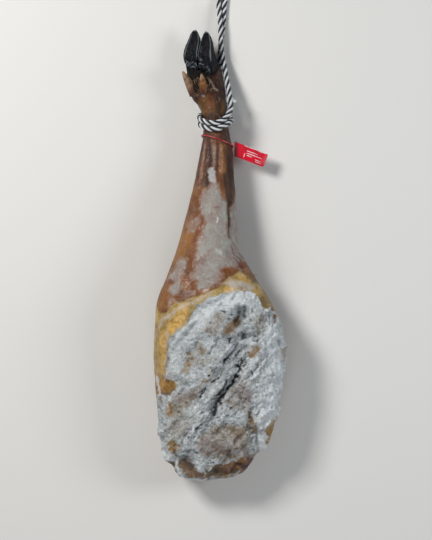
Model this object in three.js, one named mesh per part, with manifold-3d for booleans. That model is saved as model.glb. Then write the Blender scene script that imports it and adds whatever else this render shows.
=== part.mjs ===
// A whole cured ham with its hoof, a striped cord hitched round the shank and a red tag on a thin strap.
// Millimetres. X runs across the meat face, Y from the butt end to the foot, Z up from the skin side.
// The ham lies on its skin side, so the meat face looks up and a small flat spot rests at Z = 0.

import * as THREE from 'three';
import { mergeVertices } from 'three/addons/utils/BufferGeometryUtils.js';
import Module from 'manifold-3d';

const wasm = await Module();
wasm.setup();

const GAP = 0.3;

// Stations of the ham from the butt end to the foot: left and right edge, underside and top
const STATIONS = [
  { y: -398.5, left: -40, right: -27, under: 50, over: 59 },
  { y: -395, left: -57, right: -6, under: 43, over: 66 },
  { y: -387, left: -67, right: 34, under: 34, over: 76 },
  { y: -372, left: -84, right: 51, under: 24, over: 87 },
  { y: -348, left: -101, right: 65, under: 12, over: 99 },
  { y: -330, left: -104, right: 85, under: 7, over: 105 },
  { y: -291, left: -107, right: 98, under: 2, over: 113 },
  { y: -239, left: -112, right: 109, under: -3, over: 121 },
  { y: -177, left: -116, right: 114, under: -4, over: 126 },
  { y: -125, left: -114, right: 107, under: -3, over: 128 },
  { y: -81, left: -110, right: 88, under: -1, over: 127 },
  { y: -37, left: -93, right: 60, under: 3, over: 122 },
  { y: 7, left: -77, right: 36, under: 8, over: 113 },
  { y: 68, left: -60, right: 29, under: 13, over: 98 },
  { y: 130, left: -44, right: 25, under: 17, over: 83 },
  { y: 184, left: -34, right: 22, under: 19, over: 71 },
  { y: 212, left: -30, right: 17, under: 20, over: 66 },
  { y: 246, left: -32, right: 12, under: 20, over: 64 },
  { y: 264, left: -40, right: 11, under: 18, over: 62 },
  { y: 298, left: -54, right: 8.5, under: 10, over: 57 },
  { y: 331, left: -60, right: 1.5, under: 4, over: 52 },
];
const BUTT_Y = STATIONS[0].y;
const FOOT_Y = STATIONS[STATIONS.length - 1].y;
const WAIST = 0.45;
const TOP_POINTS = 44;
const UNDER_POINTS = 18;
const FACE_STEP = 6.6;
const SHANK_STEP = 16;
const FACE_END_Y = -50;

// The foot ends in a slanted plane: lower on the heel side, which looks up
const FOOT_AXIS_Z = 28;
const HEEL_SLANT = 0.6;
const SLANT_START_Y = 262;
const FOOT_START_Y = 230;
const FOOT_MARGIN = 0.4;

// The meat face: its upper edge and left edge in plan, and the ridges that run across it
const FACE_EDGE = [
  [-130, -170], [-90, -148], [-52, -102], [-24, -80], [10, -71], [34, -64], [65, -73], [100, -110],
];
const FACE_LEFT = -90;
const FACE_LEFT_END_Y = -205;
const FACE_WRAP_Y = -232;
const RIDGE_ANGLE = THREE.MathUtils.degToRad(53);
const RIDGE_LENGTH = 46;
const RIDGE_WIDTH = 13;
const RIDGE_HEIGHT = 3.2;
const LUMP_SIZE = 24;
const LUMP_HEIGHT = 2.6;
const CRUMB_SIZE = 9;
const CRUMB_HEIGHT = 1.4;
const CRUST_RISE = 1.6;
const SKIN_WAVE_SIZE = 70;
const SKIN_WAVE = 1.2;

// Grooves, folds and pits, as routes in plan with their depth and half width; a raised roll has a negative depth
const GROOVES = [
  { name: 'long furrow', depth: 6, width: 6, route: [[43, -148], [26, -166], [3, -186], [-9, -204], [-26, -243]] },
  { name: 'deep crevice', depth: 11, width: 6, route: [[27, -214], [14, -231], [-1, -248], [-16, -271]] },
  { name: 'upper cleft', depth: 7, width: 6, route: [[34, -93], [29, -118]] },
  { name: 'bored hole', depth: 6, width: 7, route: [[14, -146], [12, -152]] },
  { name: 'beaded hollow', depth: 7, width: 6, route: [[38, -145], [55, -143], [69, -138]] },
  { name: 'dark cluster', depth: 6, width: 8, route: [[34, -197], [42, -186]] },
  { name: 'right furrow', depth: 5, width: 5, route: [[55, -272], [52, -312]] },
  { name: 'rim hollow', depth: 4, width: 11, route: [[-46, -372], [-58, -356]] },
  { name: 'lobe crease', depth: 4, width: 4, route: [[12, -350], [26, -366], [43, -375]] },
  { name: 'rim seam', depth: 3, width: 4, route: [[-94, -90], [-95, -150], [-93, -206]] },
  { name: 'fat roll', depth: -4, width: 11, route: [[-96, -118], [-72, -99], [-40, -83], [0, -66], [34, -52]] },
  { name: 'skin fold', depth: 3, width: 5, route: [[15, 0], [30, -14], [44, -29]] },
  { name: 'second fold', depth: 2.5, width: 5, route: [[2, -22], [20, -34], [40, -46]] },
  { name: 'tendon groove', depth: 4, width: 4.5, route: [[18, 170], [18, 120], [18, 70], [20, 30]] },
  { name: 'shin groove', depth: 2.5, width: 5, route: [[-14, 165], [-20, 120], [-26, 80]] },
];

// Hoof: two claws turned so that the soles look up and to the left
const HOOF_TURN = THREE.MathUtils.degToRad(-27);
const HOOF_X = -28.5;
const HOOF_LEAN = -5;
const TOE_LEAN = 3.3;
const SOLE_HEIGHT = 17;
const SOLE_DROP = 8;
const SOLE_HOLLOW = 2;
const HEEL_BULB = 2.5;
const WALL_DEPTH = 18.5;
const CLAW_POINTS = 18;
const CLEFT = 0.4;
const TOE_POWER = 2.4;
const TOE_TIP = 0.1;
const SPLAY_POWER = 6;
const INNER_EDGE = 6;
const OUTER_EDGE = 3.2;
const CLAWS = [
  { name: 'claw_left', side: -1, half: 15.6, length: 65, splay: 8.5 },
  { name: 'claw_right', side: 1, half: 14, length: 61, splay: 8.8 },
];

// Dewclaws: two small horn cones on the heel side above the hoof
const DEWCLAWS = [
  { name: 'dewclaw_left', base: [-44, 282, 37], tip: [-66.4, 322.4, 44], radius: 10.5 },
  { name: 'dewclaw_right', base: [-27, 284, 52], tip: [-32.6, 315.8, 66], radius: 9.5 },
];
const DEWCLAW_POINTS = 12;
const DEWCLAW_BEND = 2.5;
const DEWCLAW_TAPER = 0.55;

// Cord: a doubled twisted cord, hitched twice round the shank
const CORD_RADIUS = 4.5;
const CORD_SIDES = 8;
const WRAP_CLEARANCE = 1.3;
const WRAP_STEPS = 54;
// The hitch: degrees round the shank from its right side over the top, place along Y, and distance off the first layer
const HITCH = [
  [45, 239, 0], [90, 229, 0], [135, 233, 0], [180, 241, 0], [225, 247, 0.9], [270, 250, 0.4], [315, 245, 0],
  [360, 236.5, 0], [405, 227.5, 0], [450, 218.5, 0], [495, 222, 0], [540, 230.5, 0], [585, 236.5, 1], [615, 240, 5],
  [645, 245, 9.8],
];
const HITCH_START = [[17.5, 271, 43], [19.3, 258, 48]];
const HITCH_END = [[11.5, 250, 7.6], [9.9, 257, 5.4], [8.9, 264, 5]];
// The free stretch: over the foot's side, down to the ground, round the end loop and back under the foot
const FREE_ROUTE = [
  [17.4, 271.6, 42.8], [15.8, 289, 37], [12.4, 307, 30.5], [8.6, 328, 22], [4.5, 350, 15.5], [2, 371, 14.9],
  [1.4, 392, 14.6], [0.8, 410, 13], [-0.7, 428, 10], [-2.4, 444, 6], [-4, 460, 4.9], [-10, 477, 4.9],
  [-18, 494, 4.9], [-17.5, 513, 4.9], [-6, 526, 4.9], [10, 526, 4.9], [22.5, 513, 4.9], [24, 494, 4.9],
  [16.5, 477, 4.9], [10, 460, 4.9], [8, 440, 4.9], [6.7, 420, 4.9], [5, 400, 4.9], [2, 380, 4.9],
  [0.3, 355, 4.9], [0.3, 330, 4.9], [2.5, 305, 4.9], [6, 284, 4.9], [8.8, 264.7, 5],
];
const FREE_STEPS = 56;
const BEAD = { radius: 3, place: [26, 269, 43.5] };

// Strap and tag
const STRAP_RADIUS = 1.3;
const STRAP_CLEARANCE = 0.9;
const STRAP_POINTS = 30;
const STRAP_SIDES = 6;
const STRAP_Y = 199;
const STRAP_SLOPE = 9.5;
const STRAP_FRONT = 3;
const TAG = { length: 60, height: 24.5, thick: 1.4, corner: 3, slant: 4.5, x: 25.4, y: 185.5, z: 41 };
const TAG_TURN = THREE.MathUtils.degToRad(-20.4);
const TAG_DROOP = THREE.MathUtils.degToRad(8);
const CLASP = { length: 6, height: 24.5, thick: 4, corner: 1, slant: 4.5 };

const SKIN = { color: 0x7a4b2e, roughness: 0.5, metalness: 0 };
const HORN_BLACK = { color: 0x14161a, roughness: 0.4, metalness: 0 };
const HORN_AMBER = { color: 0x8a5f3a, roughness: 0.5, metalness: 0 };
const CORD_WHITE = { color: 0xd8dce0, roughness: 0.8, metalness: 0 };
const RED_PLASTIC = { color: 0xcd0727, roughness: 0.4, metalness: 0 };

const smooth = THREE.MathUtils.smoothstep;
const { lerp, clamp } = THREE.MathUtils;

// A smooth curve through hand-set pairs of place and value
function through(pairs) {
  const last = pairs.length - 1;
  const slopes = pairs.map((pair, i) => {
    const before = pairs[Math.max(i - 1, 0)];
    const after = pairs[Math.min(i + 1, last)];
    return (after[1] - before[1]) / (after[0] - before[0]);
  });
  return (place) => {
    const at = clamp(place, pairs[0][0], pairs[last][0]);
    const i = Math.min(pairs.findLastIndex((pair) => pair[0] <= at), last - 1);
    const span = pairs[i + 1][0] - pairs[i][0];
    const t = (at - pairs[i][0]) / span;
    const start = (1 + 2 * t) * (1 - t) ** 2 * pairs[i][1] + t * (1 - t) ** 2 * span * slopes[i];
    const end = t * t * (3 - 2 * t) * pairs[i + 1][1] + t * t * (t - 1) * span * slopes[i + 1];
    return start + end;
  };
}

const follow = (key) => through(STATIONS.map((station) => [station.y, station[key]]));
const leftAt = follow('left');
const rightAt = follow('right');
const underAt = follow('under');
const overAt = follow('over');

// One cross-section: its centre, half width, and height above and below the waist
function section(y) {
  const under = underAt(y);
  const over = overAt(y);
  const waist = lerp(under, over, WAIST);
  return {
    x: (leftAt(y) + rightAt(y)) / 2,
    z: waist,
    half: (rightAt(y) - leftAt(y)) / 2,
    rise: over - waist,
    fall: waist - under,
  };
}

// A point on the plain skin, angle 0 at the right edge and a quarter turn at the top
function plainSkin(y, angle) {
  const at = section(y);
  const up = Math.sin(angle) > 0;
  const bulk = 1 - smooth(y, -110, 0);
  const power = 2 + (up ? 0.7 : 0.25) * bulk;
  const c = Math.cos(angle);
  const s = Math.sin(angle);
  const reach = (Math.abs(c) ** power + Math.abs(s) ** power) ** (-1 / power);
  return new THREE.Vector3(at.x + at.half * reach * c, y, at.z + (up ? at.rise : at.fall) * reach * s);
}

function skinNormal(y, angle) {
  const step = 0.01;
  const low = clamp(y - 1, BUTT_Y, FOOT_Y);
  const high = clamp(y + 1, BUTT_Y, FOOT_Y);
  const along = plainSkin(high, angle).sub(plainSkin(low, angle));
  const round = plainSkin(y, angle + step).sub(plainSkin(y, angle - step));
  return round.cross(along).negate().normalize();
}

// Repeatable noise between -1 and 1, one lattice cell to the unit
function corner(i, j, k) {
  const value = Math.sin(i * 127.1 + j * 311.7 + k * 74.7) * 43758.5453;
  return (value - Math.floor(value)) * 2 - 1;
}

function noise(x, y, z) {
  const [i, j, k] = [Math.floor(x), Math.floor(y), Math.floor(z)];
  const [u, v, w] = [x - i, y - j, z - k].map((t) => t * t * (3 - 2 * t));
  const edge = (b, c) => lerp(corner(i, j + b, k + c), corner(i + 1, j + b, k + c), u);
  return lerp(lerp(edge(0, 0), edge(1, 0), v), lerp(edge(0, 1), edge(1, 1), v), w);
}

// Distance in plan from a point to a route
function distanceTo(route, x, y) {
  let nearest = Infinity;
  for (let i = 0; i + 1 < route.length; i += 1) {
    const [ax, ay] = route[i];
    const [bx, by] = route[i + 1];
    const squared = (bx - ax) ** 2 + (by - ay) ** 2;
    const t = clamp(((x - ax) * (bx - ax) + (y - ay) * (by - ay)) / squared, 0, 1);
    nearest = Math.min(nearest, Math.hypot(x - lerp(ax, bx, t), y - lerp(ay, by, t)));
  }
  return nearest;
}

const faceEdge = through(FACE_EDGE);

// 1 on the crusted meat face, 0 on fat and skin
function crustAt(point, normal) {
  const ragged = 5 * noise(point.x / 14, point.y / 14, 3) + 2 * noise(point.x / 5, point.y / 5, 9);
  const below = smooth(faceEdge(point.x) + ragged - point.y, -2, 4);
  const leftEdge = lerp(FACE_LEFT, -135, 1 - smooth(point.y, FACE_WRAP_Y, FACE_LEFT_END_Y));
  const inside = smooth(point.x - leftEdge + ragged, -2, 4);
  return below * inside * smooth(normal.z, 0.05, 0.35);
}

// How far the real surface stands out from the plain skin
function relief(point, normal) {
  const crust = crustAt(point, normal);
  const along = point.x * Math.cos(RIDGE_ANGLE) + point.y * Math.sin(RIDGE_ANGLE);
  const across = point.y * Math.cos(RIDGE_ANGLE) - point.x * Math.sin(RIDGE_ANGLE);
  const ridge = 1 - 2 * Math.abs(noise(along / RIDGE_LENGTH, across / RIDGE_WIDTH, 5));
  const lump = noise(point.x / LUMP_SIZE, point.y / LUMP_SIZE, point.z / LUMP_SIZE);
  const crumb = noise(point.x / CRUMB_SIZE, point.y / CRUMB_SIZE, point.z / CRUMB_SIZE + 7);
  const rough = CRUST_RISE + RIDGE_HEIGHT * (ridge - 0.5) + LUMP_HEIGHT * lump + CRUMB_HEIGHT * crumb;
  const body = 1 - smooth(point.y, 40, 150);
  const wave = SKIN_WAVE * body * noise(point.x / SKIN_WAVE_SIZE, point.y / SKIN_WAVE_SIZE, point.z / SKIN_WAVE_SIZE);
  let height = lerp(wave, rough, crust);
  for (const { route, depth, width } of GROOVES) {
    const ratio = distanceTo(route, point.x, point.y) / width;
    height -= depth * Math.exp(-ratio * ratio) * smooth(normal.z, 0.1, 0.5);
  }
  return height;
}

// The finished surface, grown outwards by a margin where a cutter needs one
function hamPoint(y, angle, margin) {
  const plain = plainSkin(y, angle);
  const normal = skinNormal(y, angle);
  const ends = smooth(y, BUTT_Y, BUTT_Y + 12) * (1 - smooth(y, FOOT_Y - 12, FOOT_Y));
  const point = plain.clone().addScaledVector(normal, relief(plain, normal) * ends + margin);
  point.z = Math.max(point.z, 0);
  point.y -= HEEL_SLANT * (point.z - FOOT_AXIS_Z) * smooth(y, SLANT_START_Y, FOOT_Y);
  return point;
}

// A closed surface through rings of points, capped at both ends, or joined end to end
function loft(rings, joined = false) {
  const count = rings[0].length;
  const points = rings.flat();
  const faces = [];
  const spans = joined ? rings.length : rings.length - 1;
  for (let r = 0; r < spans; r += 1) {
    for (let p = 0; p < count; p += 1) {
      const a = r * count + p;
      const b = r * count + ((p + 1) % count);
      const c = ((r + 1) % rings.length) * count + p;
      const d = ((r + 1) % rings.length) * count + ((p + 1) % count);
      faces.push(a, c, b, b, c, d);
    }
  }
  if (!joined) {
    for (const [ring, start, turned] of [[rings[0], 0, false], [rings.at(-1), points.length - count, true]]) {
      const middle = ring.reduce((sum, point) => sum.add(point), new THREE.Vector3()).divideScalar(count);
      points.push(middle);
      for (let p = 0; p < count; p += 1) {
        const pair = [start + p, start + ((p + 1) % count)];
        faces.push(points.length - 1, ...(turned ? pair.reverse() : pair));
      }
    }
  }
  const geometry = new THREE.BufferGeometry().setFromPoints(points);
  geometry.setIndex(faces);
  return geometry;
}

// One geometry with its shared vertices merged, and back from a cut or joined solid
function merged(geometry) {
  geometry.deleteAttribute('normal');
  geometry.deleteAttribute('uv');
  return mergeVertices(geometry, 1e-3);
}

function solid(geometry) {
  const vertProperties = new Float32Array(geometry.attributes.position.array);
  const triVerts = new Uint32Array(geometry.index.array);
  return new wasm.Manifold(new wasm.Mesh({ numProp: 3, vertProperties, triVerts }));
}

function surface(body) {
  const mesh = body.getMesh();
  const geometry = new THREE.BufferGeometry();
  geometry.setAttribute('position', new THREE.BufferAttribute(new Float32Array(mesh.vertProperties), 3));
  geometry.setIndex(new THREE.BufferAttribute(new Uint32Array(mesh.triVerts), 1));
  return geometry;
}

function ringAngles() {
  const top = Array.from({ length: TOP_POINTS }, (_, i) => (Math.PI * i) / TOP_POINTS);
  const under = Array.from({ length: UNDER_POINTS }, (_, i) => Math.PI * (1 + i / UNDER_POINTS));
  return [...top, ...under];
}

// Where the rings of the ham lie: close together on the meat face, wider apart along the shank
function ringPlaces() {
  const places = [BUTT_Y];
  for (let y = BUTT_Y + 3; y < FOOT_Y - 2; y += y < FACE_END_Y ? FACE_STEP : SHANK_STEP) {
    places.push(y);
  }
  return [...places, FOOT_Y];
}

function hamFrom(start, margin) {
  const places = ringPlaces().filter((y) => y >= start);
  return loft(places.map((y) => ringAngles().map((angle) => hamPoint(y, angle, margin))));
}

// A claw: flat sole, curved outer wall, straight cleft side, rounded toe
function claw({ side, half: widest, length, splay }) {
  const shares = [0, 0.1, 0.22, 0.36, 0.5, 0.64, 0.77, 0.87, 0.94, 0.98, 1];
  const rings = shares.map((share) => {
    const half = widest * Math.max(Math.sqrt(1 - share ** TOE_POWER), TOE_TIP) * lerp(0.92, 1, smooth(share, 0, 0.2));
    const middle = CLEFT + splay * share ** SPLAY_POWER + half;
    const sole = SOLE_HEIGHT - SOLE_DROP * share ** 2 + HEEL_BULB * Math.exp(-(((share - 0.12) / 0.1) ** 2));
    const wall = Math.min(-WALL_DEPTH + (WALL_DEPTH + SOLE_HEIGHT - SOLE_DROP) * share ** 1.4, sole - 1.5);
    return Array.from({ length: CLAW_POINTS }, (_, i) => {
      const angle = (2 * Math.PI * i) / CLAW_POINTS;
      const edge = side * Math.cos(angle) < 0 ? INNER_EDGE : OUTER_EDGE;
      const power = Math.sin(angle) > 0 ? edge : 2.3;
      const reach = (Math.abs(Math.cos(angle)) ** power + Math.abs(Math.sin(angle)) ** power) ** (-1 / power);
      const x = half * reach * Math.cos(angle);
      const z = (sole + wall) / 2 + ((sole - wall) / 2) * reach * Math.sin(angle);
      const hollow = SOLE_HOLLOW * (1 - (x / half) ** 2) * smooth(Math.sin(angle), 0.3, 0.9) * smooth(share, 0.25, 0.4);
      return hoofPoint(side * middle + x, z - hollow * (1 - share), share, length);
    });
  });
  return loft(rings);
}

function hoofPoint(x, z, share, length) {
  const turned = new THREE.Vector3(x, 0, z).applyAxisAngle(new THREE.Vector3(0, 1, 0), HOOF_TURN);
  turned.x += HOOF_X + HOOF_LEAN * smooth(share, 0, 0.3) + TOE_LEAN * smooth(share, 0.4, 0.8);
  turned.y = FOOT_Y + GAP + share * length - HEEL_SLANT * turned.z * (1 - share);
  turned.z += FOOT_AXIS_Z;
  return turned;
}

// A dewclaw: a bent cone set on the foot, cut clear of the skin
function dewclaw({ base, tip, radius }, foot) {
  const start = new THREE.Vector3(...base);
  const axis = new THREE.Vector3(...tip).sub(start);
  const side = new THREE.Vector3(0, 0, 1).cross(axis).normalize();
  const lift = axis.clone().cross(side).normalize();
  const rings = [0, 0.25, 0.5, 0.72, 0.88, 0.97].map((share) => {
    const size = radius * (1 - share) ** DEWCLAW_TAPER;
    return Array.from({ length: DEWCLAW_POINTS }, (_, i) => {
      const angle = (-2 * Math.PI * i) / DEWCLAW_POINTS;
      const bend = DEWCLAW_BEND * Math.sin(Math.PI * share);
      return start.clone().addScaledVector(axis, share)
        .addScaledVector(side, size * Math.cos(angle))
        .addScaledVector(lift, 0.8 * size * Math.sin(angle) + bend);
    });
  });
  const cut = solid(loft(rings)).subtract(foot);
  const pieces = cut.decompose().sort((a, b) => b.volume() - a.volume());
  return surface(pieces[0]);
}

// A cord along a route: a many-sided round section drawn along a smooth curve
function cord(points, steps) {
  const round = Array.from({ length: CORD_SIDES }, (_, i) => {
    const angle = (2 * Math.PI * i) / CORD_SIDES;
    return new THREE.Vector2(CORD_RADIUS * Math.cos(angle), CORD_RADIUS * Math.sin(angle));
  });
  const extrudePath = new THREE.CatmullRomCurve3(points, false, 'centripetal');
  return merged(new THREE.ExtrudeGeometry(new THREE.Shape(round), { steps, extrudePath, bevelEnabled: false }));
}

function roundShank(degrees, y, clearance) {
  const at = section(y);
  const angle = THREE.MathUtils.degToRad(degrees);
  const up = Math.sin(angle) > 0;
  const x = at.x + (at.half + clearance) * Math.cos(angle);
  const z = at.z + ((up ? at.rise : at.fall) + clearance) * Math.sin(angle);
  return new THREE.Vector3(x, y, z);
}

function ropeWrap() {
  const first = CORD_RADIUS + WRAP_CLEARANCE;
  const turns = HITCH.map(([degrees, y, off]) => roundShank(degrees, y, first + off));
  const start = HITCH_START.map((place) => new THREE.Vector3(...place));
  const end = HITCH_END.map((place) => new THREE.Vector3(...place));
  return cord([...start, ...turns, ...end], WRAP_STEPS);
}

function ropeFree() {
  return cord(FREE_ROUTE.map((place) => new THREE.Vector3(...place)), FREE_STEPS);
}

function ropeBead() {
  const geometry = new THREE.IcosahedronGeometry(BEAD.radius, 1);
  geometry.translate(...BEAD.place);
  return merged(geometry);
}

function tagStrap() {
  const rings = Array.from({ length: STRAP_POINTS }, (_, i) => {
    const degrees = (-360 * i) / STRAP_POINTS;
    const turn = THREE.MathUtils.degToRad(degrees);
    const y = STRAP_Y - STRAP_SLOPE * Math.cos(turn) + STRAP_FRONT * Math.sin(turn);
    return Array.from({ length: STRAP_SIDES }, (_, side) => {
      const angle = (2 * Math.PI * side) / STRAP_SIDES;
      const off = STRAP_CLEARANCE + STRAP_RADIUS * (1 + Math.cos(angle));
      const point = roundShank(degrees, y, off);
      point.y += STRAP_RADIUS * Math.sin(angle);
      return point;
    });
  });
  return loft(rings, true);
}

// A plate with two round corners, its slanted left edge through the origin
function plate({ length, height, thick, corner: radius, slant }) {
  const shape = new THREE.Shape();
  const [top, bottom] = [height / 2, -height / 2];
  shape.moveTo(slant, bottom);
  shape.lineTo(length - radius, bottom);
  shape.absarc(length - radius, bottom + radius, radius, -Math.PI / 2, 0, false);
  shape.lineTo(length, top - radius);
  shape.absarc(length - radius, top - radius, radius, 0, Math.PI / 2, false);
  shape.lineTo(-slant, top);
  const geometry = new THREE.ExtrudeGeometry(shape, { depth: thick, bevelEnabled: false, curveSegments: 4 });
  return geometry.translate(0, 0, -thick / 2);
}

function tag() {
  return surface(solid(merged(plate(TAG))).add(solid(merged(plate(CLASP)))));
}

function addPiece(group, name, geometry, finish) {
  const mesh = new THREE.Mesh(geometry, new THREE.MeshStandardMaterial(finish));
  mesh.name = name;
  group.add(mesh);
  return mesh;
}

const curedHam = new THREE.Group();
const foot = solid(hamFrom(FOOT_START_Y, FOOT_MARGIN));

addPiece(curedHam, 'ham', hamFrom(BUTT_Y, 0), SKIN);
for (const shape of CLAWS) {
  addPiece(curedHam, shape.name, claw(shape), HORN_BLACK);
}
for (const shape of DEWCLAWS) {
  addPiece(curedHam, shape.name, dewclaw(shape, foot), HORN_AMBER);
}
addPiece(curedHam, 'rope_wrap', ropeWrap(), CORD_WHITE);
addPiece(curedHam, 'rope_free', ropeFree(), CORD_WHITE);
addPiece(curedHam, 'rope_bead', ropeBead(), CORD_WHITE);
addPiece(curedHam, 'tag_strap', tagStrap(), RED_PLASTIC);

const label = addPiece(curedHam, 'tag', tag(), RED_PLASTIC);
label.position.set(TAG.x, TAG.y, TAG.z);
label.rotation.set(0, TAG_DROOP, TAG_TURN, 'ZYX');

export default curedHam;
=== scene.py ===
import math

import bpy
import numpy as np
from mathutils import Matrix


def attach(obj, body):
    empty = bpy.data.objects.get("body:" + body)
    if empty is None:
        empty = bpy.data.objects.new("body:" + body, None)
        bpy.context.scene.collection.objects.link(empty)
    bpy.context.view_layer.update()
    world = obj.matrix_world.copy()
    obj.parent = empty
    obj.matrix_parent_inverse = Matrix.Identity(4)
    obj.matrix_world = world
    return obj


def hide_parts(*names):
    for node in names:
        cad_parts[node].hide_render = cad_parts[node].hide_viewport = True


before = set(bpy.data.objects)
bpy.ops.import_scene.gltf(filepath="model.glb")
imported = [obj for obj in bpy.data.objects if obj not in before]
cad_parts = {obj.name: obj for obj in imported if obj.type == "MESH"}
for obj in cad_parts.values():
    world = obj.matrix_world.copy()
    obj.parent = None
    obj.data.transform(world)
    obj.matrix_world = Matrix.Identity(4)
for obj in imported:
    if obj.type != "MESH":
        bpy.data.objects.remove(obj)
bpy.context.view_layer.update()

MM = 0.001

# The view: the camera looks straight down, the picture is 432 by 540 pixels
PICTURE = np.array([432.0, 540.0])
CAMERA = np.array([-7.0, -28.2, 4000.0]) * MM
MID_HEIGHT = 70 * MM
PIXEL = 1.75 * MM
SENSOR = 24.0
VIEW_REACH = 20.0

# The cord: its section, and its route in the free stretch as the solids have it
CORD_RADIUS = 4.5 * MM
WRAP_RADIUS = 4.8 * MM
CORD_LAY = 30.4 * MM
CORD_STEP = 1.3 * MM
SPAN_POINTS = 60
STRAND_COUNT = 4
STRAND_SIDES = 16
STRAND_SHARE = 0.46
YARN_DEPTH = 0.07
YARN_TURNS = 2.2
FREE_ROUTE = np.array([
    [17.4, 271.6, 42.8], [15.8, 289, 37], [12.4, 307, 30.5], [8.6, 328, 22], [4.5, 350, 15.5],
    [2, 371, 14.9], [1.4, 392, 14.6], [0.8, 410, 13], [-0.7, 428, 10], [-2.4, 444, 6], [-4, 460, 4.9],
    [-10, 477, 4.9], [-18, 494, 4.9], [-17.5, 513, 4.9], [-6, 526, 4.9], [10, 526, 4.9],
    [22.5, 513, 4.9], [24, 494, 4.9], [16.5, 477, 4.9], [10, 460, 4.9], [8, 440, 4.9], [6.7, 420, 4.9],
    [5, 400, 4.9], [2, 380, 4.9], [0.3, 355, 4.9], [0.3, 330, 4.9], [2.5, 305, 4.9], [6, 284, 4.9],
    [8.8, 264.7, 5],
]) * MM
HITCH_START = np.array([[17.5, 271, 43], [19.3, 258, 48]]) * MM
HITCH_END = np.array([[11.5, 250, 7.6], [9.9, 257, 5.4], [8.9, 264, 5]]) * MM
HITCH_OFF = 5.8 * MM
# Degrees round the shank, place along Y in millimetres, distance off the first layer in millimetres
HITCH = [
    (45, 239, 0), (90, 229, 0), (135, 233, 0), (180, 241, 0), (225, 247, 0.9), (270, 250, 0.4),
    (315, 245, 0), (360, 236.5, 0), (405, 227.5, 0), (450, 218.5, 0), (495, 222, 0), (540, 230.5, 0),
    (585, 236.5, 1), (615, 240, 5), (645, 245, 9.8),
]
BEAD_PLACE = np.array([26, 269, 43.5]) * MM
BEAD_RADIUS = 3 * MM
BEAD_RINGS = 24
BEAD_SIDES = 40
TUFT_ROOT = np.array([20.5, 273.5, 43.5]) * MM
TUFT_COUNT = 14
TUFT_RADIUS = 0.35 * MM
TUFT_STEP = 0.8 * MM
TUFT_SEED = 11

# The ham's stations in millimetres: place along Y, left and right edge, underside and top
STATIONS = [
    (-398.5, -40, -27, 50, 59), (-395, -57, -6, 43, 66), (-387, -67, 34, 34, 76), (-372, -84, 51, 24, 87),
    (-348, -101, 65, 12, 99), (-330, -104, 85, 7, 105), (-291, -107, 98, 2, 113), (-239, -112, 109, -3, 121),
    (-177, -116, 114, -4, 126), (-125, -114, 107, -3, 128), (-81, -110, 88, -1, 127), (-37, -93, 60, 3, 122),
    (7, -77, 36, 8, 113), (68, -60, 29, 13, 98), (130, -44, 25, 17, 83), (184, -34, 22, 19, 71),
    (212, -30, 17, 20, 66), (246, -32, 12, 20, 64), (264, -40, 11, 18, 62), (298, -54, 8.5, 10, 57),
    (331, -60, 1.5, 4, 52),
]
BUTT_Y = STATIONS[0][0] * MM
FOOT_Y = STATIONS[-1][0] * MM
WAIST = 0.45
BULK_FADE = (-110 * MM, 0)
END_FADE = 12 * MM
TOP_POINTS = 190
UNDER_POINTS = 46
FACE_STEP = 1.35 * MM
SHANK_STEP = 2.3 * MM
FACE_END_Y = -60 * MM
FOOT_AXIS_Z = 28 * MM
HEEL_SLANT = 0.6
SLANT_START_Y = 262 * MM

# The main relief in millimetres, as in the solids
RIDGE_ANGLE = math.radians(53)
RIDGE_LENGTH = 46
RIDGE_WIDTH = 13
RIDGE_HEIGHT = 3.2
LUMP_SIZE = 24
LUMP_HEIGHT = 2.6
CRUMB_SIZE = 9
CRUMB_HEIGHT = 1.4
CRUST_RISE = 1.6
SKIN_WAVE_SIZE = 70
SKIN_WAVE = 1.2
BODY_FADE = (40, 150)
# Depth, half width and route in plan, in millimetres; a raised roll has a negative depth
GROOVES = [
    (6, 6, (43, -148), (26, -166), (3, -186), (-9, -204), (-26, -243)),
    (11, 6, (27, -214), (14, -231), (-1, -248), (-16, -271)), (7, 6, (34, -93), (29, -118)),
    (6, 7, (14, -146), (12, -152)), (7, 6, (38, -145), (55, -143), (69, -138)),
    (6, 8, (34, -197), (42, -186)), (5, 5, (55, -272), (52, -312)), (4, 11, (-46, -372), (-58, -356)),
    (4, 4, (12, -350), (26, -366), (43, -375)), (3, 4, (-94, -90), (-95, -150), (-93, -206)),
    (-4, 11, (-96, -118), (-72, -99), (-40, -83), (0, -66), (34, -52)),
    (3, 5, (15, 0), (30, -14), (44, -29)), (2.5, 5, (2, -22), (20, -34), (40, -46)),
    (4, 4.5, (18, 170), (18, 120), (18, 70), (20, 30)), (2.5, 5, (-14, 165), (-20, 120), (-26, 80)),
]

# Stretches over which a finer relief sets in or ends, in millimetres along Y and, for the last, along X
STRANDS_RISE = (-20, 120)
STRANDS_FALL = (205, 240)
WRINKLES_RISE = (225, 262)
COMBED_RISE = (42, 66)
# Stretches along Y over which the shank's and the pastern's own tones set in
SHANK_TONE = (90 * MM, 180 * MM)
PASTERN_TONE = (215 * MM, 250 * MM)

# Edges on the meat face, in picture pixels: where the skin gives way to fat, and the fat to the mould crust
FAT_EDGE = [
    (140, 296), (155, 308), (162, 313), (169, 309), (178, 303), (195, 297), (206, 293), (219, 287.5),
    (227, 278), (237, 273), (246, 271), (253, 278), (262, 286), (290, 320),
]
MOULD_EDGE = [
    (140, 345), (168, 338), (174, 332), (186, 325), (191, 316), (199, 305), (212, 299), (229, 293.5),
    (244, 291.5), (253, 293), (258.5, 300), (264, 309.5), (271, 308.5), (276, 313), (290, 330),
]
# The crust's left end as pairs of picture height and place across, and the heights over which the fat fades
FAT_FADE = (372, 384)
LEFT_EDGE = [(300, 167), (341, 168), (366, 166), (378, 166), (394, 160), (399, 150), (520, 120)]

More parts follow.
